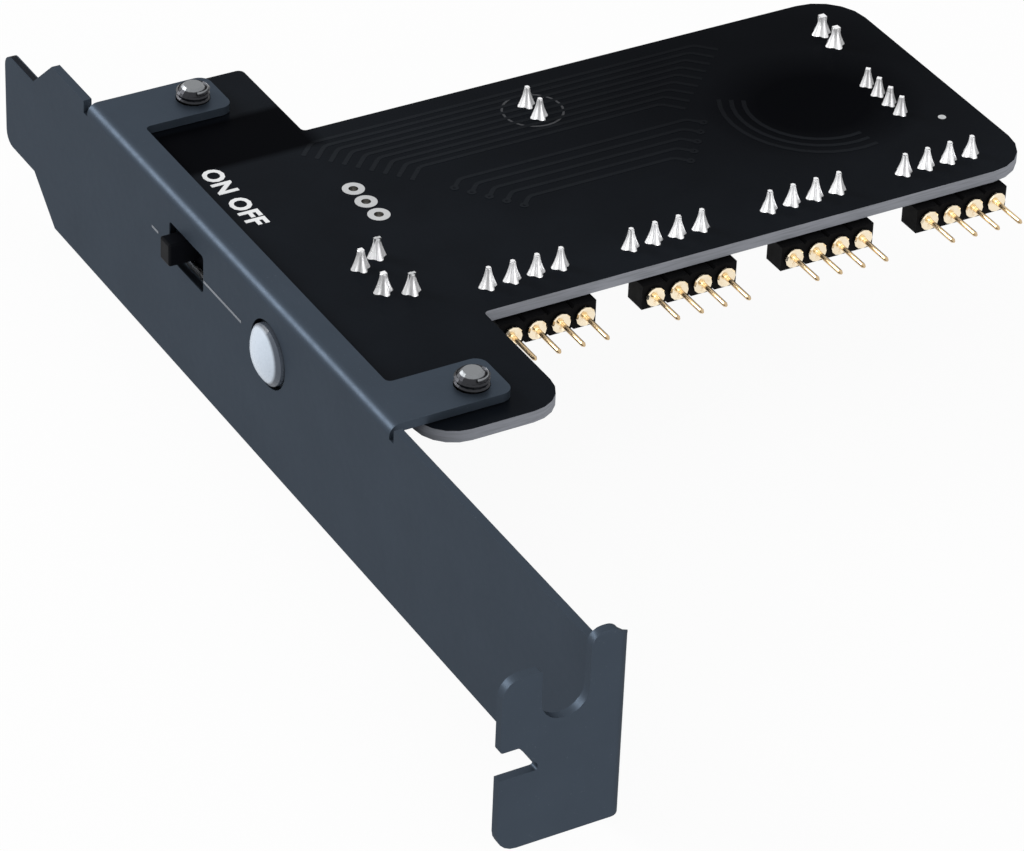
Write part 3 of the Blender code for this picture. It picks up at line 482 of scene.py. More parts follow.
@dataclass(frozen=True)
class LaminateEdge(Finish):
    """The sawn edge of a glass-fibre board: pale, with its layers as fine lines along it.

    Attributes:
        layer: The colour of the darker layers.
        layers: Layers per metre, across the edge.
        breaks: Changes per metre, along the edge.
        layer_share: How much of the layers' colour shows.
        layer_range: The noise between which a layer fades in.
    """

    layer: Colour = (0.20, 0.20, 0.19)
    layers: float = 5200.0
    breaks: float = 300.0
    layer_share: float = 0.8
    layer_range: tuple[float, float] = (0.45, 0.65)

    def pattern(self, graph: Graph, colour: bpy.types.NodeSocket) -> bpy.types.NodeSocket:
        """Return the edge's colour with its darker layers.

        Args:
            graph: The graph to build in.
            colour: The plain resin.

        Returns:
            The colour's socket.
        """
        lines = graph.noise(1.0, where=graph.stretched((self.breaks, self.breaks, self.layers)))
        return graph.blend(graph.spread(lines, 0.0, self.layer_share, *self.layer_range), colour, self.layer)


@dataclass(frozen=True)
class PlatedMetal(Finish):
    """Plated or tinned metal: dull patches where the plating is thin, and fine drawn lines.

    Attributes:
        dull: The patches' colour.
        drawn: Drawn lines per metre, along X, Y and Z.
        patches: Patches per metre.
        patch_share: How much of the patches' colour shows.
        patch_range: The noise between which a patch fades in.
    """

    dull: Colour = (0.35, 0.35, 0.35)
    drawn: Point = (900.0, 5000.0, 5000.0)
    patches: float = 1300.0
    patch_share: float = 0.5
    patch_range: tuple[float, float] = (0.5, 0.75)

    def pattern(self, graph: Graph, colour: bpy.types.NodeSocket) -> bpy.types.NodeSocket:
        """Return the metal with its duller patches.

        Args:
            graph: The graph to build in.
            colour: The plain metal.

        Returns:
            The colour's socket.
        """
        found = graph.noise(self.patches, detail=4.0)
        return graph.blend(graph.spread(found, 0.0, self.patch_share, *self.patch_range), colour, self.dull)

    def relief(self, graph: Graph) -> bpy.types.NodeSocket:
        """Return the height of the drawn lines."""
        return graph.noise(1.0, 3.0, graph.stretched(self.drawn))


@dataclass(frozen=True)
class RimShadedCap(Finish):
    """A moulded cap with a white face, and painted shade on its rim.

    Attributes:
        rim_shade: The painted shade on the rim.
        middle: The face's middle along Y and Z.
        radius: The white face's radius, inside the painted shade.
        border: The width over which it fades into the painted shade.
    """

    # Painted shade: the cap's rim is darkened in colour
    rim_shade: Colour = (0.080, 0.095, 0.120)
    middle: tuple[float, float] = (0.06224, 0.00262)
    radius: float = 0.00255
    border: float = 0.00025

    def pattern(self, graph: Graph, colour: bpy.types.NodeSocket) -> bpy.types.NodeSocket:
        """Return the white face within the painted shade of its rim.

        Args:
            graph: The graph to build in.
            colour: The white face.

        Returns:
            The colour's socket.
        """
        from_middle = graph.length(graph.stretched((0.0, 1.0, 1.0), (0.0, *self.middle)))
        rim_shaded = graph.spread(from_middle, 0.0, 1.0, self.radius, self.radius + self.border)
        return graph.blend(rim_shaded, colour, self.rim_shade)


# How far a pin's thick collar stands out from its housing
COLLAR_REACH = 0.00055


@dataclass(frozen=True)
class TurnedPin(PlatedMetal):
    """A gold-plated pin whose tail is tinned by the solder.

    Attributes:
        tinned: The colour of the tinned tail.
        shaft: The colour of the thin gold towards the pin's point.
        board_bottom: The height from which the pin is tinned.
        collar_front: Where the thin part starts, along Y.
    """

    tinned: Colour = (0.90, 0.90, 0.91)
    shaft: Colour = (0.62, 0.46, 0.27)
    board_bottom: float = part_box("board")[0].z
    collar_front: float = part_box("header_1_housing")[0].y - COLLAR_REACH

    def pattern(self, graph: Graph, colour: bpy.types.NodeSocket) -> bpy.types.NodeSocket:
        """Return the gold with its patches, and the tinned tail.

        Args:
            graph: The graph to build in.
            colour: The plain gold.

        Returns:
            The colour's socket.
        """
        _, along, up = graph.axes()
        thin = graph.math("LESS_THAN", along, self.collar_front)
        gold = graph.blend(thin, super().pattern(graph, colour), self.shaft)
        return graph.blend(graph.math("GREATER_THAN", up, self.board_bottom), gold, self.tinned)


@dataclass(frozen=True)
class PrintedSleeve(Finish):
    """Shrunk sleeve of a capacitor: a pale stripe with dashes marks the negative lead.

    Attributes:
        centre: The can's axis and the height of its closed end.
        radius: The can's radius.
        stripe: The stripe's colour.
        bare: The colour of the bare end of the can.
        groove_shade: The painted shade in the cross that is scored into it.
        score: Half the width of the cross's lines.
        stripe_share: Half the stripe's width, as a share of the radius.
        dash_share: The dashes' width, as a share of the stripe's.
        dash_turn: The angle that the row of dashes runs through per metre.
        dash_gap: How much of each turn lies between dashes.
        end_share: The bare end's radius, as a share of the can's.
        end_depth: How far up the bare end reaches.
        cross_share: The cross's reach, as a share of the radius.
    """

    centre: Point = (0.0, 0.0, 0.0)
    radius: float = 0.00315
    stripe: Colour = (0.55, 0.57, 0.60)
    bare: Colour = (0.55, 0.55, 0.54)
    # Painted shade: the scored cross is darkened in colour, not cut into the mesh
    groove_shade: Colour = (0.16, 0.16, 0.16)
    score: float = 0.00012
    stripe_share: float = 0.38
    dash_share: float = 0.62
    dash_turn: float = 2600.0
    dash_gap: float = 0.72
    end_share: float = 0.80
    end_depth: float = 0.0004
    cross_share: float = 0.60

    def pattern(self, graph: Graph, colour: bpy.types.NodeSocket) -> bpy.types.NodeSocket:
        """Return the sleeve with its stripe, and the bare end with painted shade in its scored cross.

        Args:
            graph: The graph to build in.
            colour: The plain sleeve.

        Returns:
            The colour's socket.
        """
        across, along, up = graph.axes(graph.stretched((1.0, 1.0, 1.0), self.centre))
        aside = graph.math("ABSOLUTE", across)
        width = self.radius * self.stripe_share
        stripe = graph.math("MULTIPLY", graph.math("LESS_THAN", aside, width),
                            graph.math("GREATER_THAN", along, 0.0))
        wave = graph.math("SINE", graph.math("MULTIPLY", up, self.dash_turn))
        dash = graph.math("MULTIPLY", graph.math("LESS_THAN", aside, width * self.dash_share),
                          graph.math("GREATER_THAN", wave, self.dash_gap))
        shown = graph.math("GREATER_THAN", graph.math("SUBTRACT", stripe, dash), 0.5)
        sides = graph.blend(shown, colour, self.stripe)
        from_axis = graph.length(graph.stretched((1.0, 1.0, 0.0), self.centre))
        nearest = graph.math("MINIMUM", aside, graph.math("ABSOLUTE", along))
        scored_shade = graph.math("MULTIPLY", graph.math("LESS_THAN", nearest, self.score),
                            graph.math("LESS_THAN", from_axis, self.radius * self.cross_share))
        end = graph.blend(scored_shade, self.bare, self.groove_shade)
        at_end = graph.math("MULTIPLY", graph.math("LESS_THAN", from_axis, self.radius * self.end_share),
                            graph.math("LESS_THAN", up, self.end_depth))
        return graph.blend(at_end, sides, end)


@dataclass(frozen=True)
class BlackenedScrew(Finish):
    """Blackened steel, with a painted highlight on the screw's end.

    Attributes:
        tip_highlight: The colour of the painted highlight on the end.
        end: The height above which the highlight is painted.
        border: The height over which the highlight fades in.
    """

    # Painted highlight: the screw's end gets a brighter colour
    tip_highlight: Colour = (0.22, 0.23, 0.24)
    end: float = 0.0100
    border: float = 0.00005

    def pattern(self, graph: Graph, colour: bpy.types.NodeSocket) -> bpy.types.NodeSocket:
        """Return the dark screw with the painted highlight on its end.

        Args:
            graph: The graph to build in.
            colour: The blackened steel.

        Returns:
            The colour's socket.
        """
        up = graph.axes()[2]
        highlit = graph.spread(up, 0.0, 1.0, self.end - self.border, self.end)
        return graph.blend(highlit, colour, self.tip_highlight)


# Painted shade: the mask and traces are darker and duller below the far ear and over the board's far end. The
# disc is mask with no copper under it.
PAINTED_EAR_SHADE = Zone((0.0157, 0.0895), (0.0075, 0.0040), border=0.12, strength=0.95)
BARE_DISC = Zone((0.0696, 0.0712), (0.0085, 0.0075), round=True, border=0.35, strength=0.9)
PAINTED_END_SHADE = Zone((0.0690, 0.0800), (0.0300, 0.0200), round=True, border=0.60, strength=0.70)

PAINT = PaintedSheet("painted_steel", (0.048, 0.063, 0.084), 0.04, (0.40, 0.46), metallic=0.72, specular=0.20,
                     grain=3200.0, depth=0.000003, edge=0.38)
MASK = SolderMask("solder_mask", (0.0060, 0.0078, 0.0110), 0.12, (0.28, 0.36), specular=0.012,
                  depth=0.000003, zones=(PAINTED_EAR_SHADE, BARE_DISC, PAINTED_END_SHADE))
TRACE = SolderMask("masked_copper", (0.0100, 0.0125, 0.0165), 0.10, (0.26, 0.34), specular=0.020,
                   depth=0.000002, zones=(PAINTED_EAR_SHADE, PAINTED_END_SHADE))
EDGE = LaminateEdge("board_edge", (0.24, 0.25, 0.28), 0.06, (0.75, 0.85), specular=0.2,
                    layer=(0.19, 0.20, 0.22))
HOLE = PlatedMetal("plated_hole", (0.30, 0.29, 0.27), 0.06, (0.3, 0.45), metallic=1.0)
RESIN = Finish("chip_resin", (0.016, 0.016, 0.018), 0.10, (0.50, 0.62), specular=0.25, depth=0.000004)
RING = Finish("levelled_tin", (0.56, 0.57, 0.58), 0.10, (0.25, 0.35), metallic=0.2, depth=0.000003)
PLASTIC = Finish("moulded_black", (0.0045, 0.0045, 0.0050), 0.12, (0.42, 0.55), specular=0.03, depth=0.000003)
LEVER = Finish("lever_black", (0.004, 0.0045, 0.006), 0.12, (0.35, 0.45), specular=0.03, depth=0.000003)
GOLD = TurnedPin("gold_plate", (0.96, 0.83, 0.62), 0.05, (0.14, 0.24), metallic=1.0, dull=(0.80, 0.62, 0.40))
STEEL = PlatedMetal("zinc_steel", (0.55, 0.56, 0.57), 0.08, (0.28, 0.42), metallic=1.0)
DARK_STEEL = BlackenedScrew("blackened_steel", (0.035, 0.036, 0.040), 0.10, (0.30, 0.42), metallic=1.0)
TIN = PlatedMetal("solder_tin", (0.96, 0.96, 0.97), 0.03, (0.26, 0.36), metallic=0.55,
                  dull=(0.84, 0.84, 0.84))
PALE = RimShadedCap("button_plastic", (0.56, 0.63, 0.72), 0.03, (0.24, 0.32), specular=0.3, depth=0.000001)
NYLON = Finish("inlet_nylon", (0.66, 0.64, 0.58), 0.05, (0.40, 0.55), specular=0.4, depth=0.000003)
RUBBER = Finish("seal_rubber", (0.020, 0.020, 0.021), 0.10, (0.75, 0.9), specular=0.3)
CERAMIC = Finish("resistor_glaze", (0.012, 0.012, 0.014), 0.10, (0.25, 0.35))
INK = Finish("white_ink", (0.86, 0.87, 0.88), 0.06, (0.55, 0.7), specular=0.2, depth=0.000003)
DIM_INK = Finish("grey_ink", (0.19, 0.205, 0.23), 0.10, (0.5, 0.6), specular=0.2, depth=0.000003)
FAINT_INK = Finish("faint_ink", (0.045, 0.047, 0.052), 0.10, (0.5, 0.6), specular=0.1, depth=0.000003)


# Making of meshes


def show(name: str, mesh: bpy.types.Mesh, body: Body, finishes: Sequence[Finish] = (),
         stands_for: Sequence[str] = (),
         rule: Callable[[bpy.types.MeshPolygon], int] | None = None) -> bpy.types.Object:
    """Show a mesh as a piece that rides on a body.

    Args:
        name: The piece's name.
        mesh: Its mesh, in place.
        body: The body it rides on.
        finishes: Its finishes, one for each material index, or none if the mesh has its own.
        stands_for: The nodes that it replaces.
        rule: Which of the finishes each face has, where there is more than one.

    Returns:
        The new object.
    """
    made = bpy.data.objects.new(name, mesh)
    bpy.context.scene.collection.objects.link(made)
    if finishes:
        mesh.materials.clear()
        for finish in finishes:
            mesh.materials.append(finish.material())
    if rule:
        for face in mesh.polygons:
            face.material_index = rule(face)
    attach(made, body.value)
    if stands_for:
        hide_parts(*stands_for)
    LOG.info("%s: %d faces", name, len(mesh.polygons))
    return made


def evaluated(source: bpy.types.Object, name: str) -> bpy.types.Mesh:
    """Turn an object and its modifiers into a plain mesh and remove the object.

    Args:
        source: The object.
        name: The mesh's name.

    Returns:
        The plain mesh, in world space.
    """
    graph = bpy.context.evaluated_depsgraph_get()
    mesh = bpy.data.meshes.new_from_object(source.evaluated_get(graph))
    mesh.transform(source.matrix_world)
    mesh.name = name
    bpy.data.objects.remove(source, do_unlink=True)
    return mesh


def merged_copy(node: str, flat_angle: float = math.radians(0.5)) -> bpy.types.Mesh:
    """Return a copy of a node's mesh with its loose triangles merged into plain faces.

    Args:
        node: The node's name.
        flat_angle: Faces that meet at less than this become one.

    Returns:
        The merged mesh.
    """
    mesh = FRAME["nodes"][node].data.copy()
    shape = bmesh.new()
    shape.from_mesh(mesh)
    bmesh.ops.remove_doubles(shape, verts=shape.verts, dist=MERGE)
    for edge in shape.edges:
        edge.smooth = True
    bmesh.ops.dissolve_limit(shape, angle_limit=flat_angle, verts=shape.verts, edges=shape.edges)
    shape.to_mesh(mesh)
    shape.free()
    mesh.shade_smooth()
    mesh.set_sharp_from_angle(angle=SHARP)
    return mesh


def rounded_mesh(mesh: bpy.types.Mesh, width: float, segments: int = 2) -> bpy.types.Mesh:
    """Return a mesh with its sharp edges rounded and shaded smooth.

    Args:
        mesh: The mesh to round.
        width: The width of the rounding.
        segments: Its number of faces.

    Returns:
        The rounded mesh.
    """
    work = bpy.data.objects.new("rounding", mesh)
    bpy.context.scene.collection.objects.link(work)
    bevel = work.modifiers.new("Round", "BEVEL")
    bevel.width = width
    bevel.segments = segments
    bevel.limit_method = "ANGLE"
    bevel.angle_limit = SHARP
    bevel.use_clamp_overlap = True
    weighted = work.modifiers.new("Even", "WEIGHTED_NORMAL")
    weighted.keep_sharp = True
    mesh.shade_smooth()
    mesh.set_sharp_from_angle(angle=SMOOTH)
    return evaluated(work, mesh.name)


class Repeat:
    """A Geometry Nodes tree with named inputs that makes one kind of repeated piece."""

    def __init__(self, name: str) -> None:
        """Make the tree with its geometry and material inputs.

        Args:
            name: The tree's name.
        """
        self.tree = bpy.data.node_groups.new(name, "GeometryNodeTree")
        self.keys: dict[str, str] = {}
        self.tree.interface.new_socket("Geometry", in_out="OUTPUT", socket_type="NodeSocketGeometry")
        self.tree.interface.new_socket("Geometry", in_out="INPUT", socket_type="NodeSocketGeometry")
        self.entry = self.node("NodeGroupInput")
        self.exit = self.node("NodeGroupOutput")
        self.size("Material", "NodeSocketMaterial")

    def size(self, name: str, kind: str = "NodeSocketFloat") -> bpy.types.NodeSocket:
        """Add a named input.

        Args:
            name: The input's name.
            kind: The socket's type.

        Returns:
            The input's socket inside the tree.
        """
        made = self.tree.interface.new_socket(name, in_out="INPUT", socket_type=kind)
        self.keys[name] = made.identifier
        return self.entry.outputs[name]

    def node(self, kind: str, **settings: object) -> bpy.types.Node:
        """Add a node.

        Args:
            kind: The node's type.
            settings: Its settings by name.

        Returns:
            The node.
        """
        made = self.tree.nodes.new(kind)
        for name, value in settings.items():
            setattr(made, name, value)
        return made

    def join(self, source: bpy.types.NodeSocket, target: bpy.types.NodeSocket) -> None:
        """Link two sockets."""
        self.tree.links.new(source, target)

    def sum(self, operation: str, first: bpy.types.NodeSocket | float,
            second: bpy.types.NodeSocket | float) -> bpy.types.NodeSocket:
        """Return the result of one sum on two values.

        Args:
            operation: The Math node's operation.
            first: The first value.
            second: The second value.

        Returns:
            The result's socket.
        """
        made = self.node("ShaderNodeMath", operation=operation)
        for socket, value in zip(made.inputs, (first, second)):
            if isinstance(value, bpy.types.NodeSocket):
                self.join(value, socket)
            else:
                socket.default_value = value
        return made.outputs[0]

    def close(self, geometry: bpy.types.NodeSocket, smooth: bool) -> None:
        """End the tree: realize the instances, shade them and set their material.

        Args:
            geometry: The geometry to end with.
            smooth: True for smooth faces.
        """
        real = self.node("GeometryNodeRealizeInstances")
        shade = self.node("GeometryNodeSetShadeSmooth")
        shade.inputs["Shade Smooth"].default_value = smooth
        paint = self.node("GeometryNodeSetMaterial")
        self.join(geometry, real.inputs[0])
        self.join(real.outputs[0], shade.inputs[0])
        self.join(shade.outputs[0], paint.inputs[0])
        self.join(self.entry.outputs["Material"], paint.inputs["Material"])
        self.join(paint.outputs[0], self.exit.inputs[0])

    def on_points(self, piece: bpy.types.NodeSocket) -> bpy.types.NodeSocket:
        """Return the piece repeated on every point of the tree's geometry.

        Args:
            piece: The piece to repeat.

        Returns:
            The instances.
        """
        repeat = self.node("GeometryNodeInstanceOnPoints")
        self.join(self.entry.outputs["Geometry"], repeat.inputs["Points"])
        self.join(piece, repeat.inputs["Instance"])
        return repeat.outputs[0]

    def run(self, name: str, source: bpy.types.Mesh, finish: Finish, **sizes: float) -> bpy.types.Mesh:
        """Run the tree on a mesh of points or lines.

        Args:
            name: The result's name.
            source: The points or lines.
            finish: The finish of the result.
            sizes: The values of the named inputs.

        Returns:
            The plain mesh.
        """
        work = bpy.data.objects.new(name, source)
        bpy.context.scene.collection.objects.link(work)
        modifier = work.modifiers.new("Repeat", "NODES")
        modifier.node_group = self.tree
        modifier[self.keys["Material"]] = finish.material()
        for key, value in sizes.items():
            modifier[self.keys[key]] = value
        return evaluated(work, name)


def points_mesh(points: Sequence[Point]) -> bpy.types.Mesh:
    """Return a mesh of loose points."""
    mesh = bpy.data.meshes.new("points")
    mesh.from_pydata([tuple(point) for point in points], [], [])
    return mesh


def lines_mesh(lines: Sequence[Sequence[Point]]) -> bpy.types.Mesh:
    """Return a mesh of open lines, each a list of points."""
    mesh = bpy.data.meshes.new("lines")
    places: list[Point] = []
    edges: list[tuple[int, int]] = []
    for line in lines:
        start = len(places)
        places += [tuple(point) for point in line]
        edges += [(start + k, start + k + 1) for k in range(len(line) - 1)]
    mesh.from_pydata(places, edges, [])
    return mesh


def solder_tree(steps: int = 9, flare: float = 1.5, lobes: int = 4, hollow: float = 0.52, tip: float = 1.50,
                rounding: float = 0.30, rounding_steps: int = 4) -> Repeat:
    """Return the tree of solder joints: a cone that climbs each lead, hollow between its lobes.

    Args:
        steps: The number of points up the cone.
        flare: The power by which it narrows.
        lobes: The number of lobes.
        hollow: The section's radius between the lobes, as a share.
        tip: Its radius at the lobes, as a share.
        rounding: The radius of the section's corners.
        rounding_steps: The number of points on each corner.

    Returns:
        The tree, with the inputs Height, Foot and Neck.
    """
    tree = Repeat("solder_joints")
    height = tree.size("Height")
    foot = tree.size("Foot")
    neck = tree.size("Neck")
    top = tree.node("ShaderNodeCombineXYZ")
    tree.join(height, top.inputs["Z"])
    line = tree.node("GeometryNodeCurvePrimitiveLine")
    tree.join(top.outputs[0], line.inputs["End"])
    even = tree.node("GeometryNodeResampleCurve")
    even.inputs["Count"].default_value = steps
    tree.join(line.outputs[0], even.inputs["Curve"])
    share = tree.node("GeometryNodeSplineParameter")
    left = tree.sum("SUBTRACT", 1.0, share.outputs["Factor"])
    narrow = tree.sum("POWER", left, flare)
    radius = tree.sum("ADD", neck, tree.sum("MULTIPLY", narrow, tree.sum("SUBTRACT", foot, neck)))
    star = tree.node("GeometryNodeCurveStar")
    star.inputs["Points"].default_value = lobes
    star.inputs["Inner Radius"].default_value = hollow
    star.inputs["Outer Radius"].default_value = tip
    ring = tree.node("GeometryNodeFilletCurve", mode="POLY")
    ring.inputs["Count"].default_value = rounding_steps
    ring.inputs["Radius"].default_value = rounding
    ring.inputs["Limit Radius"].default_value = True
    tree.join(star.outputs["Curve"], ring.inputs["Curve"])
    body = tree.node("GeometryNodeCurveToMesh")
    body.inputs["Fill Caps"].default_value = True
    tree.join(even.outputs[0], body.inputs["Curve"])
    tree.join(ring.outputs[0], body.inputs["Profile Curve"])
    tree.join(radius, body.inputs["Scale"])
    tree.close(tree.on_points(body.outputs[0]), True)
    return tree


def ring_tree(sides: int = 28) -> Repeat:
    """Return the tree of plated rings round holes.

    Args:
        sides: The number of sides of a ring.

    Returns:
        The tree, with the inputs Radius, Width and Height.
    """
    tree = Repeat("plated_rings")
    radius = tree.size("Radius")
    width = tree.size("Width")
    height = tree.size("Height")
    loop = tree.node("GeometryNodeCurvePrimitiveCircle")
    loop.inputs["Resolution"].default_value = sides
    tree.join(radius, loop.inputs["Radius"])
    section = tree.node("GeometryNodeCurvePrimitiveQuadrilateral")
    tree.join(width, section.inputs["Width"])
    tree.join(height, section.inputs["Height"])
    body = tree.node("GeometryNodeCurveToMesh")
    tree.join(loop.outputs["Curve"], body.inputs["Curve"])
    tree.join(section.outputs[0], body.inputs["Profile Curve"])
    tree.close(tree.on_points(body.outputs[0]), False)
    return tree


def strip_tree(corner_steps: int = 5) -> Repeat:
    """Return the tree of flat strips along lines, with round corners: copper traces and printed lines.

    Args:
        corner_steps: The number of points on each corner.

    Returns:
        The tree, with the inputs Width, Height and Corner.
    """
    tree = Repeat("flat_strips")
    width = tree.size("Width")
    height = tree.size("Height")
    corner = tree.size("Corner")
    line = tree.node("GeometryNodeMeshToCurve")
    tree.join(tree.entry.outputs["Geometry"], line.inputs["Mesh"])
    bend = tree.node("GeometryNodeFilletCurve", mode="POLY")
    bend.inputs["Count"].default_value = corner_steps
    bend.inputs["Limit Radius"].default_value = True
    tree.join(line.outputs[0], bend.inputs["Curve"])
    tree.join(corner, bend.inputs["Radius"])
    level = tree.node("GeometryNodeSetCurveNormal", mode="Z_UP")
    tree.join(bend.outputs[0], level.inputs["Curve"])
    section = tree.node("GeometryNodeCurvePrimitiveQuadrilateral")
    tree.join(width, section.inputs["Width"])
    tree.join(height, section.inputs["Height"])
    body = tree.node("GeometryNodeCurveToMesh")
    body.inputs["Fill Caps"].default_value = True
    tree.join(level.outputs[0], body.inputs["Curve"])
    tree.join(section.outputs[0], body.inputs["Profile Curve"])
    tree.close(body.outputs[0], False)
    return tree


def thread_tree(steps: int = 24, sides: int = 4) -> Repeat:
    """Return the tree of screw threads: a ridge that winds up each screw.

    Args:
        steps: The number of points on each turn.
        sides: The number of sides of the ridge.

    Returns:
        The tree, with the inputs Radius, Turns, Rise and Ridge.
    """
    tree = Repeat("screw_threads")
    radius = tree.size("Radius")
    turns = tree.size("Turns")
    rise = tree.size("Rise")
    ridge = tree.size("Ridge")
    coil = tree.node("GeometryNodeCurveSpiral")
    coil.inputs["Resolution"].default_value = steps
    tree.join(turns, coil.inputs["Rotations"])
    tree.join(radius, coil.inputs["Start Radius"])
    tree.join(radius, coil.inputs["End Radius"])
    tree.join(rise, coil.inputs["Height"])
    level = tree.node("GeometryNodeSetCurveNormal", mode="Z_UP")
    tree.join(coil.outputs[0], level.inputs["Curve"])
    section = tree.node("GeometryNodeCurvePrimitiveCircle")
    section.inputs["Resolution"].default_value = sides
    tree.join(ridge, section.inputs["Radius"])
    body = tree.node("GeometryNodeCurveToMesh")
    body.inputs["Fill Caps"].default_value = True
    tree.join(level.outputs[0], body.inputs["Curve"])
    tree.join(section.outputs["Curve"], body.inputs["Profile Curve"])
    tree.close(tree.on_points(body.outputs[0]), False)
    return tree


@dataclass(frozen=True)
class Ring:
    """The sizes of a flat ring.

    Attributes:
        radius: The radius of its middle line.
        width: Its width.
    """

    radius: float
    width: float

    def show(self, name: str, spots: Sequence[Point], height: float, finish: Finish, slot: Slot) -> None:
        """Show one such ring round each spot.

        Args:
            name: The piece's name.
            spots: The rings' middles.
            height: The rings' height.
            finish: Their finish.
        """
        mesh = ring_tree().run(name, points_mesh(spots), finish, Radius=self.radius, Width=self.width,
                               Height=height)
        show(name, mesh, Body.ADAPTER)


@dataclass(frozen=True)
class Strip:
    """The section and corners of a flat strip.

    Attributes:
        width: The strip's width.
        height: Its height.
        corner: The radius of its corners.
    """

    width: float
    height: float
    corner: float = 0.0

    def show(self, name: str, lines: Sequence[Sequence[Point]], finish: Finish, slot: Slot) -> None:
        """Show one such strip along each line.

        Args:
            name: The piece's name.
            lines: The lines, each a list of points.
            finish: The strips' finish.
        """
        mesh = strip_tree().run(name, lines_mesh(lines), finish, Width=self.width, Height=self.height,
                                Corner=self.corner)
        show(name, mesh, Body.ADAPTER)


@dataclass(frozen=True)
class Lettering:
    """Printed words, as thin raised ink.

    Attributes:
        words: The words.
        size: The height of a line of letters.
        start: The place of the first letter's foot.
        along: The direction in which the words run.
        up: The direction of the letters' tops.
        ink: Half the ink's thickness.
        weight: How much wider the strokes are, as a share of the size.
        spacing: The distance between letters, as a factor.
        steps: The number of points on each curve of a letter.
    """

    words: str
    size: float
    start: Point
    along: Point
    up: Point
    ink: float = 0.000015
    weight: float = 0.035
    spacing: float = 1.08
    steps: int = 3

    def mesh(self) -> bpy.types.Mesh:
        """Return the words as a mesh in place.

        Returns:
            The mesh.
        """
        curve = bpy.data.curves.new("lettering", "FONT")
        curve.body = self.words
        curve.size = self.size
        curve.extrude = self.ink
        curve.resolution_u = self.steps
        curve.offset = self.size * self.weight
        curve.space_character = self.spacing
        work = bpy.data.objects.new("lettering", curve)
        bpy.context.scene.collection.objects.link(work)
        bpy.context.view_layer.update()
        mesh = evaluated(work, "lettering")
        along = Vector(self.along).normalized()
        up = Vector(self.up).normalized()
        out = along.cross(up)
        turn = Matrix((along, up, out)).transposed().to_4x4()
        mesh.transform(Matrix.Translation(Vector(self.start)) @ turn)
        return mesh


# Sub-assemblies


HEADERS = 4
HEADER_PINS = 4
LEADS = ("push_terminal_near", "push_terminal_far", "capacitor_lead_near", "capacitor_lead_far",
         "inlet_pin_near", "inlet_pin_far")


def middle_of(node: str, z: float) -> Point:
    """Return the middle of a node, seen from above, at a height."""
    low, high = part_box(node)
    return ((low.x + high.x) / 2, (low.y + high.y) / 2, z)


def header_places(z: float, half_pin: float = 0.00025) -> list[Point]:
    """Return where the headers' pins pass the board, at a height. The upright part is each pin's farthest."""
    made = []
    for index in range(1, HEADERS + 1):
        for number in range(1, HEADER_PINS + 1):
            low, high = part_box(f"header_{index}_pin_{number}")
            made.append(((low.x + high.x) / 2, high.y - half_pin, z))
    return made


def end_row_places(z: float, from_end: float = 0.0071, from_near: float = 0.02918, pitch: float = 0.0020,
                   count: int = 4) -> list[Point]:
    """Return the four pins of the row beside the inlet, at a height.

    Args:
        z: The height.
        from_end: The row's distance from the board's far end.
        from_near: The first pin's distance from the board's near edge.
        pitch: The distance between the pins.
        count: The number of pins.

    Returns:
        The places.
    """
    low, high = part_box("board")
    return [(high.x - from_end, low.y + from_near + k * pitch, z) for k in range(count)]


def lead_places(z: float) -> list[Point]:
    """Return where every pin and lead passes the board, at a height."""
    return header_places(z) + end_row_places(z) + [middle_of(name, z) for name in LEADS]


@dataclass
class Bracket:
    """The folded bracket with its paint and its printed marks.

    Attributes:
        sheet: The steel's thickness.
        seat_gap: The gap between the plate and the slide switch.
        rounding: The width of the rounding of its edges.
        line_width: The printed line's width.
        ink: The ink's thickness.
        line_height: The line's height on the plate.
        line_ends: The ends of the line from the lever to the button, along Y.
        dash_ends: The ends of the dash on the lever's other side.
    """

    sheet: float = 0.00086
    seat_gap: float = 0.0002
    rounding: float = 0.00012
    line_width: float = 0.00026
    ink: float = 0.00003
    line_height: float = 0.0030
    line_ends: tuple[float, float] = (0.0751, 0.0674)
    dash_ends: tuple[float, float] = (0.0860, 0.0846)

    def build(self) -> None:
        """Paint the bracket and print the line that leads from the lever to the button."""
        mesh = rounded_mesh(merged_copy("bracket"), self.rounding)
        show("bracket_painted", mesh, Body.ADAPTER, [PAINT], ["bracket"])
        plate_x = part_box("slide_switch_shell")[0].x - self.sheet - self.seat_gap
        lines = [[(plate_x, y, self.line_height) for y in ends] for ends in (self.line_ends, self.dash_ends)]
        Strip(2 * self.ink, self.line_width).show("plate_line", lines, DIM_INK, Slot.PAINT)


@dataclass(frozen=True)
class Bundle:
    """Nested traces that run along X and hook towards the near edge at both ends.

    Attributes:
        start: The left end of the outermost trace's straight part, from the board's near left corner.
        end: Its right end along X, from the same corner.
        count: The number of traces.
        pitch: The distance between them.
        hook: The size of the hooks.
        later: How much later each next trace starts.
        sooner: How much sooner each next trace ends.
    """

    start: tuple[float, float]
    end: float
    count: int
    pitch: float
    hook: float
    later: float
    sooner: float

    def lines(self, corner: Vector, z: float) -> list[list[Point]]:
        """Return the traces.

        Args:
            corner: The board's near left corner.
            z: The height of the traces.

        Returns:
            The traces, as lines of points.
        """
        made = []
        for k in range(self.count):
            y = corner.y + self.start[1] - k * self.pitch
            start = corner.x + self.start[0] + k * self.later
            end = corner.x + self.end - k * self.sooner
            made.append([(start - self.hook, y - self.hook, z), (start, y, z), (end, y, z),
                         (end + self.hook, y - self.hook, z)])
        return made


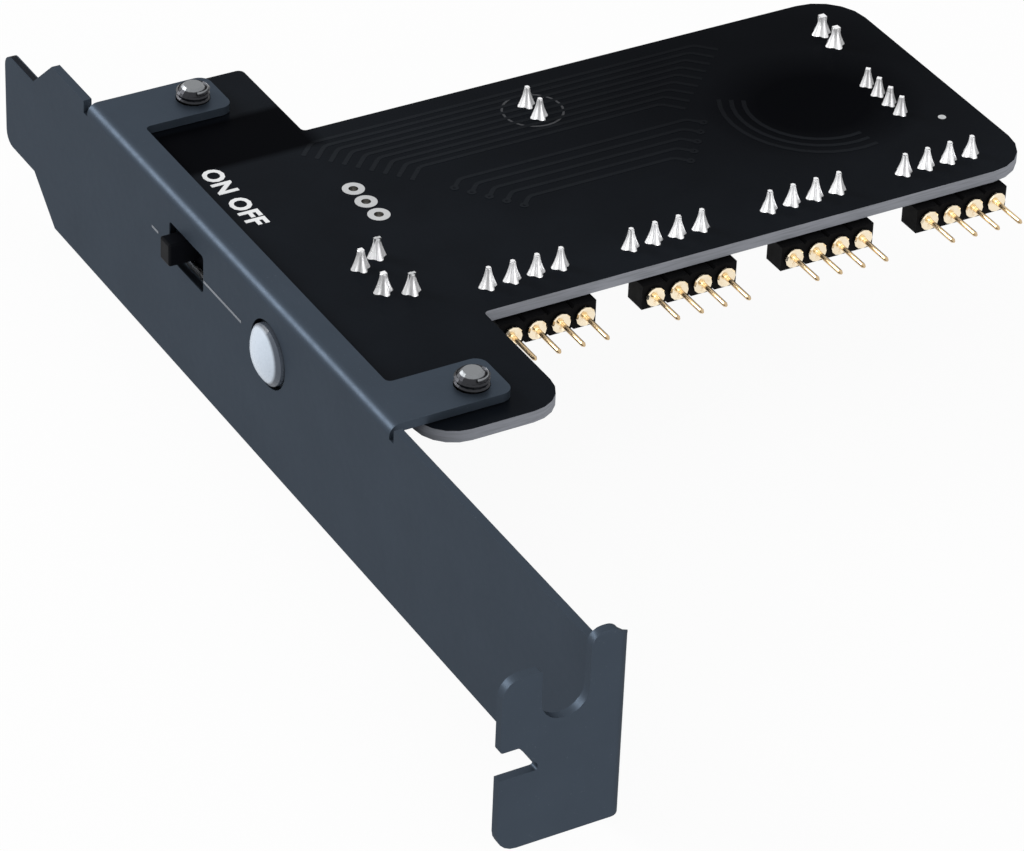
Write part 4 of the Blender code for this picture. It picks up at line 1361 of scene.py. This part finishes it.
@dataclass
class Board:
    """The printed board: mask, sawn edge, plated holes, rings, traces and legend.

    Attributes:
        copper: How far a trace or a ring stands above the laminate.
        wing: The width of the part that carries the bracket's ears.
        main_start: The main part's near edge, from the near end of the wing.
        main_width: The main part's width.
        outline_probe: How far outside a side face a point is tried, to tell the outline from a hole.
        flat: The least slope of the normal at which a face is a flat side's.
        empty_row: The middle of the three empty holes, from the near left corner.
        pitch: The distance between them.
        empty_ring: The ring round each of them.
        test_place: The bare test point, inwards from the far end and from the near edge.
        test_ring: The test point's size.
        trace_width: The width of a trace.
        trace_corner: The radius of a trace's corners.
        long_traces: The long bundle.
        short_traces: The short bundle, whose traces end at passages.
        passage: The ring round a passage.
        arc_radii: The arcs' radii round the bare disc.
        arc_start: Where the arcs start, in degrees.
        arc_step: The angle between two points of an arc.
        arc_points: The number of points on an arc.
        words: The words beside the slide switch.
        words_size: Their height.
        words_place: The first letter's foot, from the near left corner.
        words_lift: The height of the ink's middle above the mask.
        can_ring: The ring that is printed round the capacitor's leads.
    """

    copper: float = 0.00002
    wing: float = 0.0138
    main_start: float = 0.0160
    main_width: float = 0.0355
    outline_probe: float = 0.0026
    flat: float = 0.5
    empty_row: tuple[float, float] = (0.0132, 0.0375)
    pitch: float = 0.00254
    empty_ring: Ring = Ring(0.00078, 0.00062)
    test_place: tuple[float, float] = (0.0039, 0.0267)
    test_ring: Ring = Ring(0.00022, 0.00036)
    trace_width: float = 0.00045
    trace_corner: float = 0.0012
    long_traces: Bundle = Bundle((0.0135, 0.0492), 0.0560, 9, 0.00105, 0.0018, 0.0009, 0.0011)
    short_traces: Bundle = Bundle((0.0230, 0.0372), 0.0480, 5, 0.00140, 0.0012, 0.0011, 0.0012)
    passage: Ring = Ring(0.00030, 0.00028)
    arc_radii: tuple[float, ...] = (0.0068, 0.0080, 0.0092)
    arc_start: float = 150.0
    arc_step: float = 10.0
    arc_points: int = 14
    words: str = "ON OFF"
    words_size: float = 0.0028
    words_place: tuple[float, float] = (0.0015, 0.0490)
    words_lift: float = 0.00001
    can_ring: Ring = Ring(0.0030, 0.00022)
    low: Vector = field(init=False)
    high: Vector = field(init=False)
    top: float = field(init=False)

    def build(self) -> None:
        """Dress the board and add its copper and print."""
        self.low, self.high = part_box("board")
        self.top = self.high.z
        show("board_laminate", merged_copy("board"), Body.ADAPTER, [MASK, EDGE, HOLE], ["board"],
             self.finish_of)
        self.rings()
        self.traces()
        self.prints()

    def finish_of(self, face: bpy.types.MeshPolygon) -> int:
        """Return 0 for the mask, 1 for the sawn edge and 2 for a plated hole."""
        if abs(face.normal.z) > self.flat:
            return 0
        place = face.center + face.normal * self.outline_probe
        main_low = self.low.y + self.main_start
        across_wing = self.low.x < place.x < self.low.x + self.wing
        along_wing = self.low.y < place.y < self.high.y
        across_main = self.low.x < place.x < self.high.x
        along_main = main_low < place.y < main_low + self.main_width
        return 2 if (across_wing and along_wing) or (across_main and along_main) else 1

    def rings(self) -> None:
        """Plate a ring round each end of the three empty holes, and show one bare test point."""
        x = self.low.x + self.empty_row[0]
        y = self.low.y + self.empty_row[1]
        spots = [(x, y + k * self.pitch, z) for k in (-1, 0, 1) for z in (self.low.z, self.top)]
        self.empty_ring.show("empty_rings", spots, 2 * self.copper, RING, Slot.TIN)
        spot = (self.high.x - self.test_place[0], self.low.y + self.test_place[1], self.top)
        self.test_ring.show("test_point", [spot], 2 * self.copper, RING, Slot.TIN)

    def arc(self, radius: float) -> list[Point]:
        """Return one trace that curves round the bare disc."""
        middle_x, middle_y = BARE_DISC.middle
        turns = [math.radians(self.arc_start + self.arc_step * k) for k in range(self.arc_points)]
        return [(middle_x + radius * math.cos(turn), middle_y + radius * math.sin(turn), self.top)
                for turn in turns]

    def traces(self) -> None:
        """Lay copper traces under the mask: two bundles along the board and arcs round the bare disc."""
        long_ones = self.long_traces.lines(self.low, self.top)
        short_ones = self.short_traces.lines(self.low, self.top)
        arcs = [self.arc(radius) for radius in self.arc_radii]
        Strip(self.trace_width, 2 * self.copper, self.trace_corner).show(
            "traces", long_ones + short_ones + arcs, TRACE, Slot.BOARD)
        ends = [line[0] for line in short_ones] + [line[-1] for line in short_ones]
        self.passage.show("passages", ends, 3 * self.copper, TRACE, Slot.BOARD)

    def prints(self) -> None:
        """Print the switch's two words and the capacitor's ring."""
        across, along = self.words_place
        start = (self.low.x + across, self.low.y + along, self.top + self.words_lift)
        words = Lettering(self.words, self.words_size, start, (0, -1, 0), (1, 0, 0))
        show("switch_words", words.mesh(), Body.ADAPTER, [INK])
        self.can_ring.show("capacitor_ring", [middle_of("capacitor_can", self.top)], self.copper, FAINT_INK,
                           Slot.BOARD)


@dataclass
class Underside:
    """Copper and print on the board's underside, where its parts sit.

    Attributes:
        copper: How far a trace or a pad stands out from the laminate.
        ink_width: The width of a printed outline.
        margin: How far a printed outline runs from its part.
        outlined: The parts with a printed outline.
        bus_start: The first of the headers' common traces, from the leads' row.
        bus_pitch: The distance between them.
        bus_count: Their number.
        thin_width: The width of the traces that carry signals.
        thin_corner: The radius of their corners.
        power_width: The width of the traces that feed the board.
        power_corner: The radius of their corners.
        pad: The pad round each lead.
        chip_inset: The first control trace, from the controller's far side.
        driver_inset: Where such a trace reaches its transistor, from the transistor's left side.
        slant: The size of its slanting part.
    """

    copper: float = 0.00002
    ink_width: float = 0.00016
    margin: float = 0.00035
    outlined: tuple[str, ...] = ("controller_chip", "regulator", "driver_1", "driver_2", "driver_3",
                                 "resistor_1", "resistor_2", "resistor_3", "inlet_housing")
    bus_start: float = 0.0013
    bus_pitch: float = 0.0008
    bus_count: int = 3
    thin_width: float = 0.0003
    thin_corner: float = 0.0004
    power_width: float = 0.0011
    power_corner: float = 0.0006
    pad: Ring = Ring(0.00072, 0.00040)
    chip_inset: float = 0.0018
    driver_inset: float = 0.0006
    slant: float = 0.001
    z: float = field(init=False)

    def build(self) -> None:
        """Lay the traces and pads, and print the outlines of the parts."""
        self.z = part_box("board")[0].z
        height = 2 * self.copper
        Strip(self.thin_width, height, self.thin_corner).show(
            "underside_traces", self.bus() + self.controls(), TRACE, Slot.BOARD)
        Strip(self.power_width, height, self.power_corner).show(
            "power_traces", self.feeds(), TRACE, Slot.BOARD)
        outlines = [self.outline(name) for name in self.outlined]
        Strip(self.ink_width, height).show("part_outlines", outlines, INK, Slot.BOARD)
        self.pad.show("lead_pads", lead_places(self.z), height, RING, Slot.TIN)
        low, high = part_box("capacitor_can")
        can = Ring((high.x - low.x) / 2 + self.margin, self.ink_width)
        can.show("can_outline", [middle_of("capacitor_can", self.z)], height, INK, Slot.BOARD)

    def outline(self, name: str) -> list[Point]:
        """Return the loop that is printed round a part."""
        low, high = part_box(name)
        left, right = low.x - self.margin, high.x + self.margin
        near, far = low.y - self.margin, high.y + self.margin
        return [(left, near, self.z), (right, near, self.z), (right, far, self.z), (left, far, self.z),
                (left, near, self.z)]

    def bus(self) -> list[list[Point]]:
        """Return the traces that the headers have in common, behind the row of their leads."""
        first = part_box("header_1_pin_1")
        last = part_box(f"header_{HEADERS}_pin_{HEADER_PINS}")[1]
        made = []
        for k in range(self.bus_count):
            y = first[1].y + self.bus_start + k * self.bus_pitch
            made.append([(first[0].x, y, self.z), (last.x, y, self.z)])
        return made

    def controls(self) -> list[list[Point]]:
        """Return the traces from the controller to each transistor."""
        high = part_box("controller_chip")[1]
        made = []
        for k, name in enumerate(("driver_1", "driver_2", "driver_3")):
            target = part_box(name)[0]
            y = high.y - self.chip_inset - k * self.bus_pitch
            x = target.x + self.driver_inset
            made.append([(high.x + 2 * self.margin, y, self.z), (x - self.slant, y, self.z),
                         (x, y + self.slant, self.z), (x, target.y - self.margin * 2, self.z)])
        return made

    def feeds(self) -> list[list[Point]]:
        """Return the wide traces from the inlet through the regulator to the capacitor."""
        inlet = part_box("inlet_housing")[0]
        low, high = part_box("regulator")
        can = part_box("capacitor_can")[1]
        middle = (low.y + high.y) / 2
        gap = self.power_width
        return [[(inlet.x - gap, middle, self.z), (high.x + gap, middle, self.z)],
                [(low.x - gap, middle, self.z), (can.x + gap, middle, self.z)]]


@dataclass
class Joints:
    """Solder joints on the board's top, one on each lead.

    Attributes:
        header_height: The height of a joint of a header, a switch, the capacitor or the inlet.
        row_height: The height of a joint of the row beside the inlet.
        row_foot: Its radius at the board.
        header_foot: The radius at the board of a header's or the capacitor's joint.
        switch_foot: The same for a switch's joint.
        inlet_foot: The same for an inlet's joint.
        neck: The radius at the top of most joints.
        wide_neck: The same for the joints of the switches and the inlet.
        leg_inset: The middle of the switch frame's legs, from its inner side.
        half_sheet: Half the frame's thickness.
        sunk: How far a joint reaches into the board.
    """

    header_height: float = 0.0019
    row_height: float = 0.00182
    row_foot: float = 0.00098
    header_foot: float = 0.00115
    switch_foot: float = 0.00120
    inlet_foot: float = 0.00130
    neck: float = 0.00036
    wide_neck: float = 0.00044
    leg_inset: float = 0.00035
    half_sheet: float = 0.00015
    sunk: float = 0.00002
    tree: Repeat = field(init=False)

    def build(self) -> None:
        """Solder every lead that comes up through the board."""
        self.tree = solder_tree()
        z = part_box("board")[1].z - self.sunk
        self.solder("header_joints", header_places(z), self.header_height, self.header_foot, self.neck)
        low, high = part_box("push_switch_frame")
        legs = [(high.x - self.leg_inset, y, z) for y in (low.y + self.half_sheet, high.y - self.half_sheet)]
        leads = [middle_of(name, z) for name in ("push_terminal_near", "push_terminal_far")]
        self.solder("switch_joints", legs + leads, self.header_height, self.switch_foot, self.wide_neck)
        leads = [middle_of(name, z) for name in ("capacitor_lead_near", "capacitor_lead_far")]
        self.solder("capacitor_joints", leads, self.header_height, self.header_foot, self.neck)
        leads = [middle_of(name, z) for name in ("inlet_pin_near", "inlet_pin_far")]
        self.solder("inlet_joints", leads, self.header_height, self.inlet_foot, self.wide_neck)
        self.solder("end_row_joints", end_row_places(z), self.row_height, self.row_foot, self.neck)

    def solder(self, name: str, spots: Sequence[Point], height: float, foot: float, neck: float) -> None:
        """Show one group of joints.

        Args:
            name: The group's name.
            spots: The middle of each joint's foot.
            height: The joints' height.
            foot: The radius at the board.
            neck: The radius at the top.
        """
        mesh = self.tree.run(name, points_mesh(spots), TIN, Height=height, Foot=foot, Neck=neck)
        show(name, mesh, Body.ADAPTER)


@dataclass
class Screws:
    """The two screws with the thread that stands above the ears.

    Attributes:
        ear_rise: The height of the ears' upper side above the board.
        pitch: The thread's pitch.
        ridge: The radius of its ridge.
        shank: The screw's radius.
        sunk: How far the ridge's middle lies inside that.
        end: How far below the screw's end the thread stops.
    """

    ear_rise: float = 0.00106
    pitch: float = 0.0005
    ridge: float = 0.00020
    shank: float = 0.00150
    sunk: float = 0.00006
    end: float = 0.0003

    def build(self) -> None:
        """Cut the thread on both screws."""
        tree = thread_tree()
        ear_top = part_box("board")[1].z + self.ear_rise
        for name in ("screw_near", "screw_far"):
            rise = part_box(name)[1].z - ear_top - self.end
            start = points_mesh([middle_of(name, ear_top)])
            mesh = tree.run(name + "_thread", start, DARK_STEEL, Radius=self.shank - self.sunk,
                            Turns=rise / self.pitch, Rise=rise, Ridge=self.ridge)
            show(name + "_thread", mesh, Body.ADAPTER)


@dataclass
class Chips:
    """The chips under the board, with bare metal legs on a black body.

    Attributes:
        bodies: Each chip's node and the width of its body.
        margin: How far past the body a face must lie to be a leg's.
    """

    bodies: tuple[tuple[str, float], ...] = (
        ("controller_chip", 0.0039), ("driver_1", 0.0013), ("driver_2", 0.0013), ("driver_3", 0.0013),
        ("regulator", 0.0025))
    margin: float = 0.00004

    def build(self) -> None:
        """Give each chip its black body and its tinned legs."""
        for name, width in self.bodies:
            low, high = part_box(name)
            middle = (low.y + high.y) / 2
            reach = width / 2 + self.margin

            def leg(face: bpy.types.MeshPolygon, middle: float = middle, reach: float = reach) -> int:
                """Return 1 for a face of a leg and 0 for the body."""
                return 1 if abs(face.center.y - middle) > reach else 0

            show(name + "_packaged", merged_copy(name), Body.ADAPTER, [RESIN, TIN], [name], leg)


PLAIN_NODES: dict[str, Finish] = {
    "screw_near": DARK_STEEL, "screw_far": DARK_STEEL, "button_cap": PALE, "button_plunger": PLASTIC,
    "push_switch_housing": PLASTIC, "push_switch_frame": STEEL, "push_terminal_near": TIN,
    "push_terminal_far": TIN, "snap_dome": STEEL, "slide_switch_shell": STEEL, "slide_switch_base": PLASTIC,
    "slide_terminal_1": TIN, "slide_terminal_2": TIN, "slide_terminal_3": TIN, "slide_lever": LEVER,
    "slide_contact": GOLD, "capacitor_seal": RUBBER, "capacitor_lead_near": TIN, "capacitor_lead_far": TIN,
    "inlet_housing": NYLON, "inlet_pin_near": TIN, "inlet_pin_far": TIN, "resistor_1": CERAMIC,
    "resistor_2": CERAMIC, "resistor_3": CERAMIC,
}


def dress_nodes() -> None:
    """Give every node that is shown as it is its finish."""
    finishes = dict(PLAIN_NODES)
    for index in range(1, HEADERS + 1):
        finishes[f"header_{index}_housing"] = PLASTIC
        for number in range(1, HEADER_PINS + 1):
            finishes[f"header_{index}_pin_{number}"] = GOLD
    low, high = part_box("capacitor_can")
    finishes["capacitor_can"] = PrintedSleeve(
        "capacitor_sleeve", (0.020, 0.026, 0.045), 0.1, (0.25, 0.35), depth=0.000002,
        centre=((low.x + high.x) / 2, (low.y + high.y) / 2, low.z), radius=(high.x - low.x) / 2)
    for name, finish in finishes.items():
        node = FRAME["nodes"][name]
        for slot in node.material_slots:
            slot.material = finish.material()
        LOG.info("%s dressed as %s", name, finish.name)


# Studio


@dataclass(frozen=True)
class Camera:
    """The photograph's camera.

    Attributes:
        place: The lens, in the frame.
        turn: Its turn about X, Y and Z in degrees.
        lens: The focal length in millimetres.
        sensor: The sensor's width in millimetres.
        clip: The nearest and farthest distance that it shows.
    """

    place: Point = (-0.16908, -0.27528, 0.25305)
    turn: Point = (55.8383, -2.0198, -29.3907)
    lens: float = 175.65
    sensor: float = 36.0
    clip: tuple[float, float] = (0.01, 20.0)

    def build(self) -> None:
        """Set the camera up."""
        data = bpy.data.cameras.new("camera")
        data.lens = self.lens
        data.sensor_width = self.sensor
        data.clip_start, data.clip_end = self.clip
        made = bpy.data.objects.new("camera", data)
        made.location = self.place
        made.rotation_euler = [math.radians(angle) for angle in self.turn]
        bpy.context.scene.collection.objects.link(made)
        bpy.context.scene.camera = made


@dataclass(frozen=True)
class SoftLight:
    """One square lamp that points at the middle of the board.

    Attributes:
        name: The lamp's name.
        towards: The direction from the object to the lamp.
        distance: How far away it is.
        size: The length of its side.
        power: Its power in watts.
        aim: The point that it shines at.
    """

    name: str
    towards: Point
    distance: float
    size: float
    power: float
    aim: Point = (0.03, 0.06, 0.0)

    def build(self) -> None:
        """Hang the lamp."""
        data = bpy.data.lights.new(self.name, "AREA")
        data.size = self.size
        data.energy = self.power
        made = bpy.data.objects.new(self.name, data)
        way = Vector(self.towards).normalized()
        made.location = Vector(self.aim) + way * self.distance
        made.rotation_euler = way.to_track_quat("Z", "Y").to_euler()
        bpy.context.scene.collection.objects.link(made)


@dataclass(frozen=True)
class Studio:
    """White floor, plain white surroundings and two soft lamps.

    Attributes:
        ambient: The surroundings' strength as a light.
        floor_gap: The gap between the floor and the object.
        floor_size: The length of the floor's side.
        floor_glow: The share of plain white that the floor shows to the camera and in reflections.
        floor_tone: The floor's own grey, which catches the shadow.
        floor_roughness: The floor's roughness.
        lamps: The two lamps.
    """

    ambient: float = 0.64
    floor_gap: float = 0.0002
    floor_size: float = 6.0
    floor_glow: float = 0.94
    floor_tone: float = 0.86
    floor_roughness: float = 0.9
    lamps: tuple[SoftLight, ...] = (SoftLight("front_lamp", (-0.18, -0.96, 0.14), 0.7, 0.5, 2.6),
                                    SoftLight("side_lamp", (-0.56, 0.71, 0.42), 0.7, 0.30, 2.6))

    def build(self) -> None:
        """Make the world, the floor and the lamps."""
        scene = bpy.context.scene
        scene.view_settings.view_transform = "Standard"
        self.surroundings(scene)
        self.floor(scene)
        for lamp in self.lamps:
            lamp.build()

    def seen(self, nodes: bpy.types.Nodes, links: bpy.types.NodeLinks) -> bpy.types.NodeSocket:
        """Return 1 for camera, glossy and transmission rays, which all see the same white background.

        Args:
            nodes: The tree's nodes.
            links: The tree's links.

        Returns:
            The value's socket.
        """
        path = nodes.new("ShaderNodeLightPath")
        found = path.outputs["Is Camera Ray"]
        for name in ("Is Glossy Ray", "Is Transmission Ray"):
            either = nodes.new("ShaderNodeMath")
            either.operation = "MAXIMUM"
            links.new(found, either.inputs[0])
            links.new(path.outputs[name], either.inputs[1])
            found = either.outputs[0]
        return found

    def surroundings(self, scene: bpy.types.Scene) -> None:
        """Make the surroundings plain white to look at, and a soft even light on the object.

        Args:
            scene: The scene.
        """
        world = bpy.data.worlds.new("surroundings")
        world.use_nodes = True
        nodes = world.node_tree.nodes
        links = world.node_tree.links
        mix = nodes.new("ShaderNodeMix")
        mix.data_type = "RGBA"
        links.new(self.seen(nodes, links), mix.inputs["Factor"])
        mix.inputs[6].default_value = (self.ambient, self.ambient, self.ambient, 1.0)
        mix.inputs[7].default_value = (1.0, 1.0, 1.0, 1.0)
        links.new(mix.outputs[2], nodes["Background"].inputs["Color"])
        scene.world = world

    def floor(self, scene: bpy.types.Scene) -> None:
        """Lay the floor just under the object. It shows from above only, so the underside can be looked at.

        Args:
            scene: The scene.
        """
        half = self.floor_size / 2
        z = MODEL_BOX[0].z - self.floor_gap
        mesh = bpy.data.meshes.new("floor")
        corners = [(-half, -half, z), (half, -half, z), (half, half, z), (-half, half, z)]
        mesh.from_pydata(corners, [], [(0, 1, 2, 3)])
        material = bpy.data.materials.new("floor_white")
        material.use_nodes = True
        nodes = material.node_tree.nodes
        links = material.node_tree.links
        shader = nodes["Principled BSDF"]
        shader.inputs["Base Color"].default_value = (self.floor_tone, self.floor_tone, self.floor_tone, 1.0)
        shader.inputs["Roughness"].default_value = self.floor_roughness
        shader.inputs["Specular IOR Level"].default_value = 0.0
        glow = nodes.new("ShaderNodeEmission")
        share = nodes.new("ShaderNodeMath")
        share.operation = "MULTIPLY"
        share.inputs[1].default_value = self.floor_glow
        links.new(self.seen(nodes, links), share.inputs[0])
        mix = nodes.new("ShaderNodeMixShader")
        links.new(share.outputs[0], mix.inputs[0])
        links.new(shader.outputs[0], mix.inputs[1])
        links.new(glow.outputs[0], mix.inputs[2])
        clear = nodes.new("ShaderNodeBsdfTransparent")
        side = nodes.new("ShaderNodeNewGeometry")
        one_sided = nodes.new("ShaderNodeMixShader")
        links.new(side.outputs["Backfacing"], one_sided.inputs[0])
        links.new(mix.outputs[0], one_sided.inputs[1])
        links.new(clear.outputs[0], one_sided.inputs[2])
        links.new(one_sided.outputs[0], nodes["Material Output"].inputs["Surface"])
        mesh.materials.append(material)
        made = bpy.data.objects.new("floor", mesh)
        scene.collection.objects.link(made)


def main() -> None:
    """Build the looks of the whole adapter."""
    logging.basicConfig(level=logging.INFO, format="%(name)s: %(message)s")
    Camera().build()
    Studio().build()
    Bracket().build()
    Board().build()
    Underside().build()
    Joints().build()
    Screws().build()
    Chips().build()
    dress_nodes()


if __name__ == "__main__":
    main()
